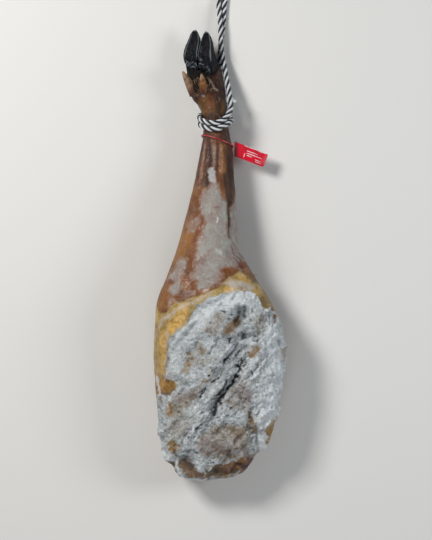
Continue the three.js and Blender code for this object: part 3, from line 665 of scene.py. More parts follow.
class Finish:
    """A procedural material in the making. Colours are six-digit codes or the outputs of other steps."""

    def __init__(self, name, **sockets):
        self.material = bpy.data.materials.new(name)
        self.material.use_nodes = True
        self.tree = self.material.node_tree
        self.shader = self.tree.nodes["Principled BSDF"]
        self.place = self.node("ShaderNodeTexCoord").outputs["Object"]
        self.set(**sockets)

    def node(self, kind, **settings):
        made = self.tree.nodes.new(kind)
        for name, value in settings.items():
            setattr(made, name, value)
        return made

    def feed(self, socket, value):
        if isinstance(value, bpy.types.NodeSocket):
            self.tree.links.new(value, socket)
        else:
            socket.default_value = tone(value) if isinstance(value, str) else value

    def set(self, **sockets):
        """Sets the shader's sockets, named with underscores in place of spaces."""
        for name, value in sockets.items():
            self.feed(self.shader.inputs[name.replace("_", " ")], value)

    def grain(self, scale, low=0.35, high=0.65, detail=4.0, stretch=None):
        """Noise as a number from 0 to 1, with low and high as its soft limits."""
        place = self.place
        if stretch is not None:
            mapping = self.node("ShaderNodeMapping")
            self.feed(mapping.inputs["Vector"], place)
            mapping.inputs["Scale"].default_value = stretch
            place = mapping.outputs["Vector"]
        texture = self.node("ShaderNodeTexNoise")
        self.feed(texture.inputs["Vector"], place)
        texture.inputs["Scale"].default_value = scale
        texture.inputs["Detail"].default_value = detail
        return self.span(texture.outputs["Fac"], low, high)

    def span(self, value, low, high, start=0.0, end=1.0):
        ranged = self.node("ShaderNodeMapRange")
        self.feed(ranged.inputs["Value"], value)
        for name, number in (("From Min", low), ("From Max", high), ("To Min", start), ("To Max", end)):
            ranged.inputs[name].default_value = number
        return ranged.outputs["Result"]

    def above(self, value, low, share):
        """From 0 where the value is at low up to the share where it is at 1."""
        return self.span(value, low, 1, 0, share)

    def below(self, value, high, share):
        """From 0 where the value is at high up to the share where it is at 0."""
        return self.span(value, high, 0, 0, share)

    def swing(self, value, half):
        return self.span(value, 0, 1, -half, half)

    def maths(self, operation, a, b):
        made = self.node("ShaderNodeMath", operation=operation)
        self.feed(made.inputs[0], a)
        self.feed(made.inputs[1], b)
        return made.outputs[0]

    def add(self, a, b):
        return self.maths("ADD", a, b)

    def times(self, a, b):
        return self.maths("MULTIPLY", a, b)

    def most(self, a, b):
        return self.maths("MAXIMUM", a, b)

    def mask(self, name, share=None):
        """The numbers that give() stored under a name, times a share."""
        stored = self.node("ShaderNodeAttribute", attribute_name=name).outputs["Fac"]
        return stored if share is None else self.times(stored, share)

    def blend(self, low, high, share, kind="Float"):
        """A mix of two values; a mix node has one set of sockets for each kind of value."""
        made = self.node("ShaderNodeMix", data_type={"Float": "FLOAT", "Color": "RGBA"}[kind])
        sockets = {socket.identifier: socket for socket in made.inputs}
        self.feed(sockets["Factor_Float"], share)
        self.feed(sockets["A_" + kind], low)
        self.feed(sockets["B_" + kind], high)
        return {socket.identifier: socket for socket in made.outputs}["Result_" + kind]

    def layers(self, colour, *coats):
        """Lays coats over a colour, each with the share to which it covers."""
        for coat, share in coats:
            colour = self.blend(colour, coat, share, "Color")
        return colour

    def relief(self, height, distance, strength):
        bump = self.node("ShaderNodeBump")
        self.feed(bump.inputs["Height"], height)
        bump.inputs["Distance"].default_value = distance
        bump.inputs["Strength"].default_value = strength
        self.feed(self.shader.inputs["Normal"], bump.outputs["Normal"])


class HamFinish(Finish):
    """The ham's material: skin, fat, bare meat and mould lie where the masks of make_ham say."""

    def __init__(self):
        super().__init__("cured_ham", Subsurface_Weight=0.04, Subsurface_Scale=3 * MM, Coat_Roughness=0.2)
        self.broad = self.grain(26, 0.38, 0.62)
        self.middle = self.grain(75, 0.36, 0.64)
        self.small = self.grain(190)
        self.fine = self.grain(620, 0.3, 0.7)
        self.speckled_film_and_sheen = self.add(self.mask("film_and_sheen"), self.swing(self.small, 0.14))
        dull = self.most(self.mask("mould"), self.mask("bloom_and_light"))
        dull = self.most(dull, self.mask("horn", 0.8))
        dull = self.most(dull, self.mask("film_and_sheen", 0.5))
        self.set(
            Base_Color=self.colour(),
            Roughness=self.blend(self.span(self.small, 0, 1, 0.38, 0.52), 0.95, dull),
            Specular_IOR_Level=self.blend(0.24, 0.12, dull),
            Coat_Weight=self.span(dull, 0.1, 0.75, 0.08, 0),
        )
        rough = self.times(self.grain(420, 0.2, 0.8, 6), self.blend(0.22, 1.0, dull))
        self.relief(self.add(rough, self.times(self.grain(1500, 0.2, 0.8), 0.3)), 1.6 * MM, 0.8)

    # The grey film's colour, laid also on the painted highlights down the shank.
    def film_and_sheen(self):
        return self.layers(
            "a06f5c",
            ("958d87", self.span(self.mask("film_and_sheen"), 0.15, 0.85)),
            ("9da39b", self.above(self.middle, 0.35, 0.65)),
            ("8a6c69", self.above(self.broad, 0.4, 0.5)),
            ("b4b6b0", self.above(self.small, 0.6, 0.3)),
        )

    def skin(self):
        strands = self.grain(120, stretch=(1, 0.14, 1))
        shank = self.layers("371a15", ("824c35", self.above(strands, 0.3, 0.7)))
        pale_spots = self.above(self.small, 0.6, 0.24)
        pastern = self.layers("1c0e08", ("42210f", self.middle), ("7c5a3e", pale_spots))
        return self.layers(
            "7b4c22",
            ("57351b", self.broad),
            ("95683c", self.above(self.middle, 0.45, 0.4)),
            (shank, self.mask("shank")),
            (pastern, self.mask("pastern")),
            ("9a6a2b", self.mask("gold", 0.75)),
            ("6f3c18", self.mask("amber", 0.85)),
            (self.film_and_sheen(), self.span(self.speckled_film_and_sheen, 0.04, 0.9)),
            # Dark skin, and painted shade in grooves and below the cord.
            ("2c1b15", self.mask("dark_skin_and_shade")),
        )

    def fat(self):
        clouds = self.add(self.swing(self.middle, 0.24), self.speckled_film_and_sheen)
        return self.layers(
            "8d7338",
            ("b0975f", self.middle),
            ("775e2b", self.above(self.small, 0.45, 0.5)),
            ("a68c6e", self.above(self.broad, 0.5, 0.5)),
            (self.layers("b98d41", ("deb872", self.small)), self.mask("gold", 0.92)),
            ("b3aba1", self.span(clouds, 0.15, 0.95, 0, 0.95)),
            ("66471d", self.mask("amber", 0.9)),
            # Painted shade in cracks in the fat.
            ("4d3a1c", self.mask("dark_skin_and_shade")),
        )

    def lean(self):
        return self.layers(
            "7b6a52",
            ("5a4a3d", self.middle),
            ("94866f", self.above(self.small, 0.5, 0.8)),
            (self.layers("83611f", ("a57a38", self.small)), self.mask("gold", 0.85)),
            ("724822", self.mask("amber", 0.75)),
            ("58393a", self.mask("plum", 0.8)),
            ("1f1915", self.mask("shade", 0.84)),
        )

    def mould(self):
        return self.layers(
            "aeb4b8",
            ("cad0d3", self.middle),
            ("aaaea6", self.below(self.broad, 0.5, 0.55)),
            ("889093", self.above(self.broad, 0.35, 0.5)),
            # Painted highlight on the crust's raised lumps, and lighter mould at random.
            ("e2e6e9", self.most(self.mask("crest_highlight", 0.85), self.above(self.small, 0.5, 0.6))),
            ("6c7172", self.below(self.grain(330, 0.34, 0.46), 1, 0.62)),
            ("848989", self.below(self.fine, 0.5, 0.52)),
            ("92867a", self.mask("thin", 0.75)),
            ("7d6a6c", self.mask("plum", 0.6)),
            ("a38a5a", self.mask("gold", 0.4)),
            # Painted shade in the crust's low places.
            ("645c50", self.mask("hollow", 0.55)),
            ("3f4448", self.mask("shade", 0.85)),
        )

    def colour(self):
        powder = self.span(self.add(self.mask("mould"), self.swing(self.fine, 0.3)), 0.1, 0.9)
        # Painted shade in the crust's cracks, holes and pits.
        crack_and_pit_shade = self.span(self.add(self.mask("dark"), self.swing(self.fine, 0.2)), 0.12, 0.8)
        return self.layers(
            self.skin(),
            (self.fat(), self.mask("fat")),
            # Painted highlights: glints on the glossy skin.
            ("d8b598", self.mask("glint", self.above(self.fine, 0.45, 0.9))),
            (self.lean(), self.mask("lean")),
            (self.mould(), self.mask("lean", powder)),
            # White mould, and in a few places painted light.
            ("dadfe2", self.mask("bloom_and_light")),
            ("303336", crack_and_pit_shade),
            (self.layers("050507", ("1b1716", self.small)), self.mask("horn")),
        )


def horn_finish():
    finish = Finish("hoof_horn", Specular_IOR_Level=0.09)
    dust = finish.grain(260, 0.5, 0.72)
    colour = finish.layers(
        "030408",
        ("0b0f16", finish.grain(60, stretch=(1, 7, 1))),
        ("565c62", finish.times(dust, 0.07)),
        ("2a201a", finish.mask("worn")),
        ("98a0a8", finish.mask("rim")),
    )
    finish.set(Base_Color=colour, Roughness=finish.span(dust, 0, 1, 0.3, 0.65))
    finish.relief(finish.grain(320, 0.3, 0.7, 6), 1.2 * MM, 0.9)
    return finish.material


def dewclaw_finish(name, low, high):
    finish = Finish(name, Specular_IOR_Level=0.35)
    patches = finish.grain(150)
    colour = finish.layers(
        low,
        (high, patches),
        ("3a1f0e", finish.mask("ring")),
        ("a58a70", finish.mask("tip")),
        ("4a2416", finish.mask("root")),
    )
    finish.set(Base_Color=colour, Roughness=finish.span(patches, 0, 1, 0.38, 0.6))
    finish.relief(finish.grain(700, 0.3, 0.7), 0.6 * MM, 0.6)
    return finish.material


def yarn_finish(name, low, high):
    finish = Finish(name, Sheen_Weight=0.25, Roughness=0.85)
    finish.set(Base_Color=finish.layers(low, (high, finish.grain(900))))
    finish.relief(finish.grain(1600, 0.3, 0.7, 3, stretch=(1, 0.35, 1)), 0.7 * MM, 0.8)
    return finish.material


def plastic_finish(name, code, darker):
    finish = Finish(name)
    colour = finish.layers(code, (darker, finish.grain(90, 0.42, 0.7)))
    finish.set(Base_Color=colour, Roughness=finish.span(finish.grain(400), 0, 1, 0.3, 0.42))
    finish.relief(finish.grain(1300, 0.3, 0.7), 0.3 * MM, 0.4)
    return finish.material


# Camera, light and ground

def set_view():
    camera = put("camera", bpy.data.cameras.new("camera"))
    camera.location = CAMERA.tolist()
    camera.data.sensor_fit = "VERTICAL"
    camera.data.sensor_height = SENSOR
    camera.data.lens = SENSOR * (CAMERA[2] - MID_HEIGHT) / (PICTURE[1] * PIXEL)
    camera.data.clip_end = VIEW_REACH
    bpy.context.scene.camera = camera
    bpy.context.scene.view_settings.view_transform = "Standard"


def set_light():
    world = bpy.data.worlds.new("studio")
    world.use_nodes = True
    world.node_tree.nodes["Background"].inputs["Color"].default_value = SKY
    world.node_tree.nodes["Background"].inputs["Strength"].default_value = SKY_STRENGTH
    bpy.context.scene.world = world
    for name, (place, target, size, power, colour) in LIGHTS.items():
        light = put(name, bpy.data.lights.new(name, "AREA"))
        light.data.size = size
        light.data.energy = power
        light.data.color = colour
        light.location = place
        x, y, z = np.array(target) - np.array(place)
        light.rotation_euler = (math.atan2(math.hypot(x, y), -z), 0, math.atan2(x, -y) + math.pi)


def make_ground():
    reach = GROUND_REACH
    corners = [(-reach, -reach, 0), (reach, -reach, 0), (reach, reach, 0), (-reach, reach, 0)]
    mesh = bpy.data.meshes.new("ground")
    mesh.from_pydata(corners, [], [(0, 1, 2, 3)])
    mesh.materials.append(Finish("pale_ground", Roughness=0.8, Base_Color="d9d8d5").material)
    put("ground", mesh)


# The cord

def smooth_route(points, step):
    """Even points along the smooth curve through a route, as the solids' cord follows it."""
    knots = np.vstack([2 * points[0] - points[1], points, 2 * points[-1] - points[-2]])
    spans = np.sqrt(np.linalg.norm(np.diff(knots, axis=0), axis=1))
    dense = []
    share = np.linspace(0, 1, SPAN_POINTS, endpoint=False)[:, None]
    for i in range(1, len(knots) - 2):
        p0, p1, p2, p3 = knots[i - 1:i + 3]
        a, b, c = spans[i - 1:i + 2]
        leaving = b * ((p1 - p0) / a - (p2 - p0) / (a + b) + (p2 - p1) / b)
        arriving = b * ((p2 - p1) / b - (p3 - p1) / (b + c) + (p3 - p2) / c)
        dense.append(cubic(share, p1, leaving, p2, arriving))
    dense = np.vstack([*dense, points[-1:]])
    run = np.concatenate([[0], np.cumsum(np.linalg.norm(np.diff(dense, axis=0), axis=1))])
    even = np.linspace(0, run[-1], max(int(run[-1] / step), 2))
    return np.stack([np.interp(even, run, dense[:, axis]) for axis in range(3)], 1), run[-1]


def carried_frames(centres):
    """Two directions across the route at each point, carried along it without twist."""
    tangents = unit(np.gradient(centres, axis=0))
    side = np.cross(tangents[0], (0, 0, 1.0))
    sides = []
    for tangent in tangents:
        side = unit(side - tangent * side.dot(tangent))
        sides.append(side)
    return np.array(sides), np.cross(tangents, sides)


def across(sides, lifts, angle):
    """The direction at an angle from sides towards lifts."""
    return np.cos(angle)[..., None] * sides + np.sin(angle)[..., None] * lifts


def twisted_cord(name, route, radius, node, white, black):
    """Four strands twisted round one another, two pale and two dark, each of three yarns."""
    centres, length = smooth_route(route, CORD_STEP)
    sides, lifts = carried_frames(centres)
    run = np.linspace(0, length, len(centres))
    strand_radius = STRAND_SHARE * radius
    round_strand = circle(STRAND_SIDES)
    strands = []
    for strand in range(STRAND_COUNT):
        turn = 2 * math.pi * (run / CORD_LAY + strand / STRAND_COUNT)
        middle = centres + (radius - strand_radius) * across(sides, lifts, turn)
        turn = turn[:, None]
        yarns = 1 + YARN_DEPTH * (np.abs(np.cos(1.5 * (round_strand - YARN_TURNS * turn))) - 0.6)
        rings = across(sides[:, None], lifts[:, None], turn + round_strand)
        strands.append(middle[:, None] + (strand_radius * yarns)[..., None] * rings)
    cord = tube_mesh(name, strands)
    fit(cord, "cord", node, white, black)
    kinds = np.repeat(np.arange(STRAND_COUNT) % 2, len(cord.data.polygons) // STRAND_COUNT)
    cord.data.polygons.foreach_set("material_index", kinds)
    return cord, centres, length


left_at, right_at, under_at, over_at = (
    through([(row[0] * MM, row[column] * MM) for row in STATIONS]) for column in (1, 2, 3, 4)
)


def section(y):
    """Centre, waist height, half width, rise above and fall below the waist of one cross-section."""
    left, right, under, over = left_at(y), right_at(y), under_at(y), over_at(y)
    waist = lerp(under, over, WAIST)
    return (left + right) / 2, waist, (right - left) / 2, over - waist, waist - under


def round_shank(angle, y, off):
    x, waist, half, rise, fall = section(y)
    lift = np.where(np.sin(angle) > 0, rise, fall) + off
    return np.stack([x + (half + off) * np.cos(angle), y + 0 * angle, waist + lift * np.sin(angle)], -1)


def make_cord(white, black):
    yarns = (white, black)
    free, centres, length = twisted_cord("rope_free_strands", FREE_ROUTE, CORD_RADIUS, "rope_free", *yarns)
    angle, y, off = np.array(HITCH, float).T
    turns = round_shank(np.radians(angle), y * MM, HITCH_OFF + off * MM)
    hitch = np.vstack([HITCH_START, turns, HITCH_END])
    twisted_cord("rope_wrap_strands", hitch, WRAP_RADIUS, "rope_wrap", *yarns)


def make_threads(name, routes, radius, slot, node, material):
    """Thin threads that taper to their ends, as one piece."""
    threads = []
    for route in routes:
        sides, lifts = carried_frames(route)
        size = radius * np.linspace(1, 0.25, len(route))[:, None, None]
        threads.append(route[:, None] + size * across(sides[:, None], lifts[:, None], circle(HAIR_SIDES)))
    fit(tube_mesh(name, threads), slot, node, material)


def make_bead(white):
    """The frayed ball at the end of the tie beside the hitch."""
    pole = math.pi / 2 - 0.05
    height, turn = np.meshgrid(np.linspace(-pole, pole, BEAD_RINGS), -circle(BEAD_SIDES), indexing="ij")
    ball = np.stack([np.cos(height) * np.cos(turn), np.cos(height) * np.sin(turn), np.sin(height)], -1)
    radius = BEAD_RADIUS * (0.86 + grains(ball, (0.1, 0.4, 0), (0.04, 0.15, 0)))
    fit(grid_mesh("rope_bead_knot", BEAD_PLACE + ball * radius[..., None]), "cord", "rope_bead", white)
    draw = np.random.default_rng(TUFT_SEED)
    wisps = []
    for _ in range(TUFT_COUNT):
        start = TUFT_ROOT + draw.normal(0, 1.1 * MM, 3)
        end = BEAD_PLACE + draw.normal(0, 1.0 * MM, 3)
        middle = (start + end) / 2 + draw.normal(0, 0.9 * MM, 3)
        loose = BEAD_PLACE + unit(draw.normal(0, 1, 3)) * BEAD_RADIUS * draw.uniform(1.1, 1.6)
        for route in ([start, middle, end], [BEAD_PLACE, (BEAD_PLACE + loose) / 2, loose]):
            wisps.append(smooth_route(np.array(route), TUFT_STEP)[0])
    make_threads("rope_bead_tuft", wisps, TUFT_RADIUS, "cord", "rope_bead", white)


# The ham

def reach_at(c, s, power):
    """How far a rounded square reaches in the direction of a cosine and a sine."""
    return (np.abs(c) ** power + np.abs(s) ** power) ** (-1 / power)


def plain_skin(y, angle):
    x, waist, half, rise, fall = section(y)
    up = np.sin(angle) > 0
    bulk = 1 - smooth(y, *BULK_FADE)
    c, s = np.cos(angle), np.sin(angle)
    reach = reach_at(c, s, 2 + np.where(up, 0.7, 0.25) * bulk)
    return np.stack([x + half * reach * c, y + 0 * c, waist + np.where(up, rise, fall) * reach * s], -1)


def skin_normal(y, angle):
    low, high = np.clip(y - MM, BUTT_Y, FOOT_Y), np.clip(y + MM, BUTT_Y, FOOT_Y)
    along = plain_skin(high, angle) - plain_skin(low, angle)
    round_it = plain_skin(y, angle + 0.01) - plain_skin(y, angle - 0.01)
    return unit(np.cross(along, round_it))


def crust_at(px, py, up):
    """1 on the crusted meat face, 0 on fat and skin."""
    ragged = mottle(px, py, (2.0, 9, 3), (1.3, 3.5, 9), (0.6, 1.6, 4))
    below = smooth(py - through(MOULD_EDGE)(px) + ragged, -0.9, 0.9)
    inside = smooth(px - through(LEFT_EDGE)(py) + 0.5 * ragged, -0.8, 0.8)
    return below * inside * smooth(up, -0.05, 0.25)


def fat_at(px, py):
    """1 below the edge where the skin gives way to fat."""
    ragged = mottle(px, py, (1.5, 8, 13), (0.7, 3, 14))
    return smooth(py - through(FAT_EDGE)(px) + ragged, -1.2, 1.2)


def main_relief(points, up, crust):
    """The main forms, as the solids have them."""
    x, y, _ = np.moveaxis(points, -1, 0)
    along, sideways = turned(x, y, RIDGE_ANGLE)
    ridge = 1 - 2 * np.abs(noise(along / RIDGE_LENGTH, sideways / RIDGE_WIDTH, 5))
    rough = CRUST_RISE + RIDGE_HEIGHT * (ridge - 0.5)
    rough += grains(points, (LUMP_HEIGHT, LUMP_SIZE, 0), (CRUMB_HEIGHT, CRUMB_SIZE, 7))
    body = 1 - smooth(y, *BODY_FADE)
    height = lerp(SKIN_WAVE * body * grain(points, SKIN_WAVE_SIZE), rough, crust)
    for depth, width, *route in GROOVES:
        ratio = distance_to(route, x, y) / width
        height = height - depth * np.exp(-ratio * ratio) * smooth(up, 0.1, 0.5)
    for place, size, rise in COLLARS:
        ratio = np.linalg.norm(points - np.array(place), axis=-1) / size
        height = height + rise * np.exp(-ratio ** 4)
    return height


def crust_relief(points, fibres, pitted):
    """Puffy lumps, torn fibres and pits of the mould crust, and the pits alone."""
    x, y, _ = np.moveaxis(points, -1, 0)
    shift_x = x + grains(points, (4, 13, 2), (1.6, 5, 12))
    shift_y = y + grains(points, (4, 13, 4), (1.6, 5, 14))
    along, sideways = turned(shift_x, shift_y, RIDGE_ANGLE)
    puffs = np.sqrt(np.abs(noise(shift_x / 12, shift_y / 12, 2)))
    small_puffs = np.sqrt(np.abs(noise(shift_x / 5.5, shift_y / 5.5, 22)))
    torn = 1 - 2 * np.sqrt(np.abs(noise(along / 26, sideways / 5, 15)))
    thread = 1 - 2 * np.abs(noise(along / 10, sideways / 2.5, 35))
    combed = 1 - 2 * np.abs(noise(shift_x / 3.2, shift_y / 22, 44))
    fine = (1 - 0.6 * fibres) * (2.3 * (puffs - 0.6) + 2.0 * (small_puffs - 0.6))
    fine += (0.1 + 0.9 * fibres) * (1.4 * torn + 1.2 * thread)
    fine += 1.9 * combed * smooth(x, *COMBED_RISE) + grains(points, (1.2, 3.6, 3), (0.7, 1.9, 6))
    pits = smooth(0.5 - cells(shift_x, shift_y, 5.2, 11), 0.12, 0.36)
    pits = pits * smooth(grain(points, 4.5, 71), -0.35, 0.15)
    rare = smooth(0.5 - cells(x, y, 17, 21), 0.33, 0.41)
    return fine - 2.2 * pits * pitted - 1.5 * rare, pits


def skin_relief(points, crust, fat):
    """Lengthwise strands on the shank, cross wrinkles above the hoof and creases in the fat."""
    y = points[..., 1]
    shank = smooth(y, *STRANDS_RISE) * (1 - smooth(y, *STRANDS_FALL))
    strands = 0.75 * grain(points * (1, 0.14, 1), 5, 51) + 0.3 * grain(points * (1, 0.2, 1), 2.2, 53)
    wrinkles = 0.7 * np.abs(grain(points * (0.4, 1, 0.4), 4, 55)) + 0.5 * grain(points, 2.5, 57)
    folds = 0.9 * grain(points, 14, 63) - 0.8 * np.exp(-(grain(points, 9, 65) / 0.12) ** 2)
    everywhere = grains(points, (0.3, 6, 59), (0.22, 2.4, 61))
    return (1 - crust) * (shank * strands - smooth(y, *WRINKLES_RISE) * wrinkles + everywhere + fat * folds)


def ham_grid():
    """Place along Y and angle of each point, closer together on the meat face and on the shown side."""
    face = np.arange(BUTT_Y + 1.5 * MM, FACE_END_Y, FACE_STEP)
    shank = np.arange(face[-1] + SHANK_STEP, FOOT_Y - MM, SHANK_STEP)
    places = np.concatenate([[BUTT_Y, BUTT_Y + 0.6 * MM], face, shank, [FOOT_Y]])
    top = np.linspace(0, math.pi, TOP_POINTS, endpoint=False)
    under = np.linspace(math.pi, 2 * math.pi, UNDER_POINTS, endpoint=False)
    return np.meshgrid(places, np.concatenate([top, under]), indexing="ij")


def slanted(points, y):
    """The foot end leans back on its heel side."""
    lean = HEEL_SLANT * (points[..., 2] - FOOT_AXIS_Z) * smooth(y, SLANT_START_Y, FOOT_Y)
    return np.stack([points[..., 0], points[..., 1] - lean, points[..., 2]], -1)


def make_ham():
    y, angle = ham_grid()
    plain = plain_skin(y, angle)
    normal = skin_normal(y, angle)
    up = normal[..., 2]
    px, py = picture_place(slanted(plain, y))
    crust = crust_at(px, py, up)
    # The relief functions and their noises work in millimetres
    places = plain / MM
    # Where the face turns down to the sides, the marks' edges wander
    sloped = 1 - smooth(up, 0, 0.4)
    px = px + sloped * grains(places, (6, 26, 91), (2.5, 8, 93))
    py = py + sloped * grains(places, (10, 26, 95), (3.5, 8, 97))
    edge_up = up + sloped * grains(places, (0.28, 30, 101), (0.16, 9, 103))
    coated = crust_at(px, py, edge_up + 0.3)
    fat = fat_at(px, py) * (1 - coated) * smooth(edge_up, -0.6, 0.2)
    warp_x = px + mottle(px, py, (1.8, 7, 31), (1.1, 2.6, 33))
    warp_y = py + mottle(px, py, (1.8, 7, 37), (1.1, 2.6, 39))
    near_x, near_y = lerp(px, warp_x, 0.4), lerp(py, warp_y, 0.4)

    def frayed(name):
        return painted(name, warp_x, warp_y)

    def clear(name):
        return painted(name, near_x, near_y)

    broken = 0.5 + mottle(px, py, (0.34, 5.2, 43), (0.3, 2.3, 45), (0.26, 1.2, 47))
    pitted, bloom_and_light, thin, dark = frayed("pitted"), frayed("bloom_and_light"), frayed("thin"), clear("dark")
    fine, pits = crust_relief(places, frayed("fibres"), pitted)
    # Painted shade in the cracks, darkest where the relief is low.
    dark = smooth(dark * (0.55 + 0.9 * broken) - 0.25 * fine, 0.15, 1.25) * smooth(dark, 0.02, 0.3)
    fine = fine * (1 - 0.7 * thin) - 1.8 * dark - 0.5 * thin + 1.4 * bloom_and_light * broken
    fine = fine + 0.8 * thin * grain(places, 2.4, 83)
    ends = smooth(y, BUTT_Y, BUTT_Y + END_FADE) * (1 - smooth(y, FOOT_Y - END_FADE, FOOT_Y))
    height = main_relief(places, up, crust) + fine * crust + skin_relief(places, crust, fat)
    points = plain + normal * (height * ends * MM)[..., None]
    points[..., 2] = np.maximum(points[..., 2], 0)
    ham = grid_mesh("ham_surface", slanted(points, y))

    seen = smooth(edge_up, -0.4, 0.1)
    film_and_sheen = clear("film_and_sheen") * (1 - 0.3 * clear("rosy")) * seen
    film_and_sheen = 1.12 * film_and_sheen + 1.5 * (broken - 0.5) * film_and_sheen * (1 - film_and_sheen)
    under_film = 0.4 * smooth(grain(places, 45, 29), 0.1, 0.6) * (1 - seen)
    cover = smooth(1 - 0.97 * thin + 0.85 * (broken - 0.5), -0.2, 0.95)
    # Painted light among these masks: glints, crests, and a few strokes of white mould and of film.
    # Painted shade among them: hollows, cracks, pits, the shade marks and part of the dark skin marks.
    masks = {
        "mould": coated * np.maximum(cover, 0.9 * bloom_and_light),
        "lean": coated,
        "fat": fat * (1 - 0.6 * smooth(py, *FAT_FADE)),
        "film_and_sheen": np.maximum(film_and_sheen, under_film),
        "bloom_and_light": bloom_and_light * seen * (0.55 + 0.45 * broken),
        "gold": frayed("gold") * seen,
        "amber": frayed("amber") * seen,
        "thin": thin,
        "glint": clear("glint") * seen,
        "plum": frayed("plum") * crust,
        "dark_skin_and_shade": clear("dark_skin_and_shade") * seen * (1 - coated),
        "shade": frayed("shade") * (0.5 + 0.6 * broken),
        "dark": np.maximum(dark, 0.75 * smooth(pits * pitted, 0.1, 0.9)) * crust,
        "hollow": smooth(-fine, 0.2, 2.6) * crust * (1 - 0.8 * thin),
        "crest_highlight": smooth(fine, 0.2, 2.6) * crust,
        "shank": smooth(y, *SHANK_TONE) * (0.8 + 0.2 * grain(places, 16, 41)),
        "pastern": smooth(y, *PASTERN_TONE),
        "horn": clear("horn") * smooth(up, -0.4, 0.2),
    }
    for name, values in masks.items():
        give(ham, name, values)
    fit(ham, "ham", "ham", HamFinish().material)


# Hoof and dewclaws

def hoof_point(x, z, share, length):
    x, z = turned(x, z, HOOF_TURN)
    lean = HOOF_X + HOOF_LEAN * smooth(share, 0, 0.3) + TOE_LEAN * smooth(share, 0.4, 0.8)
    y = FOOT_Y + GAP + share * length - HEEL_SLANT * z * (1 - share)
    return np.stack([x + lean, y, z + FOOT_AXIS_Z], -1)


def make_claw(name, side, half, length, splay, material):
    along = np.concatenate([np.linspace(0, 0.94, 70), np.linspace(0.95, 1, 12)])
    share, angle = np.meshgrid(along, circle(CLAW_SIDES), indexing="ij")
    c, s = np.cos(angle), np.sin(angle)
    width = half * np.maximum(np.sqrt(1 - share ** TOE_POWER), TOE_TIP)
    width = width * lerp(HEEL_WIDTH, 1, smooth(share, 0, 0.2))
    middle = side * (CLEFT + splay * share ** SPLAY_POWER + width)
    sole = SOLE_HEIGHT - SOLE_DROP * share ** 2 + HEEL_BULB * np.exp(-((share - 0.12) / 0.1) ** 2)
    wall = -WALL_DEPTH + (WALL_DEPTH + SOLE_HEIGHT - SOLE_DROP) * share ** 1.4
    wall = np.minimum(wall, sole - WALL_LEAST)
    edge = np.where(side * c < 0, INNER_EDGE, OUTER_EDGE)
    reach = reach_at(c, s, np.where(s > 0, edge, WALL_EDGE))
    x = width * reach * c
    z = (sole + wall) / 2 + (sole - wall) / 2 * reach * s
    facing = smooth(s, 0.3, 0.9)
    heel = (1 - smooth(share, 0.3, 0.5)) * facing
    hollow = SOLE_HOLLOW * (1 - (x / width) ** 2) * facing * smooth(share, 0.25, 0.4)
    outward = side * x / width
    rim = np.exp(-((outward - RIM_PLACES[side]) / 0.055) ** 2) + np.exp(-((outward + 0.94) / 0.045) ** 2)
    rim = rim * smooth(s, 0.1, 0.3) * smooth(share, 0.22, 0.4)
    rim = np.maximum(rim, facing * smooth(share, 0.95, 0.98))
    places = np.stack([middle + x, share * length, z], -1) / MM
    wrinkles = np.abs(grain(places * (1, 1.5, 1), 4.5, 9)) + 0.6 * np.abs(grain(places, 2.4, 19))
    rough = 0.8 * grain(places, 4, side) * (0.3 + heel) + 0.35 * grain(places, 1.6, 5)
    z = z - hollow * (1 - share) + MM * (rough * facing + 1.5 * heel * (wrinkles - 0.4) + 0.8 * rim)
    x = x + side * 0.25 * MM * np.sin(share * WALL_RIBS) * (1 - facing)
    claw = grid_mesh(name + "_horn", hoof_point(middle + x, z, share, length))
    cracks = 1 - smooth(np.abs(grain(places * (1, 0.8, 1), 4, 27)), 0.01, 0.09)
    cracks = (cracks + 0.5 * smooth(wrinkles, 0.75, 1.05)) * smooth(grain(places, 8, 31), -0.35, 0.25)
    crests = cracks * (heel + 0.3 * facing * (1 - smooth(share, 0.5, 0.7)))
    give(claw, "rim", np.maximum(0.8 * rim * (0.65 + 0.35 * grain(places, 5, 12)), 0.45 * crests))
    give(claw, "worn", 0.45 * facing * smooth(grain(places, 7, 15), 0.1, 0.6) * (1 - rim) * (1 - heel))
    fit(claw, "hoof", name, material)


def make_dewclaw(name, base, tip, radius, seed, material):
    start = np.array(base) * MM
    axis = np.array(tip) * MM - start
    side = unit(np.cross((0, 0, 1.0), axis))
    lift = unit(np.cross(axis, side))
    share, angle = np.meshgrid(np.linspace(0, 0.985, DEWCLAW_RINGS), -circle(DEWCLAW_SIDES), indexing="ij")
    c, s = np.cos(angle), np.sin(angle)
    rings = np.sin(share * DEWCLAW_RIBS + 1.6 * np.sin(angle + seed))
    size = radius * (1 - share) ** DEWCLAW_TAPER * (1 + 0.012 * rings)
    size = size * (1 + 0.06 * noise(share * 7, c * 1.5, seed))
    bend = DEWCLAW_BEND * np.sin(math.pi * share)
    points = start + axis * share[..., None] + side * (size * c)[..., None]
    piece = grid_mesh(name + "_horn", points + lift * (0.8 * size * s + bend)[..., None])
    give(piece, "ring", 0.75 * smooth(-rings, 0.3, 1) * (0.5 + 0.5 * noise(share * 9, c, seed + 2)))
    give(piece, "tip", 0.6 * smooth(share + 0.1 * noise(c * 2, share * 3, seed + 4), 0.72, 0.95))
    give(piece, "root", 1 - smooth(share + 0.12 * noise(c * 2, s * 2, seed), 0.05, 0.42))
    fit(piece, "dewclaw", name, material)


# Hairs

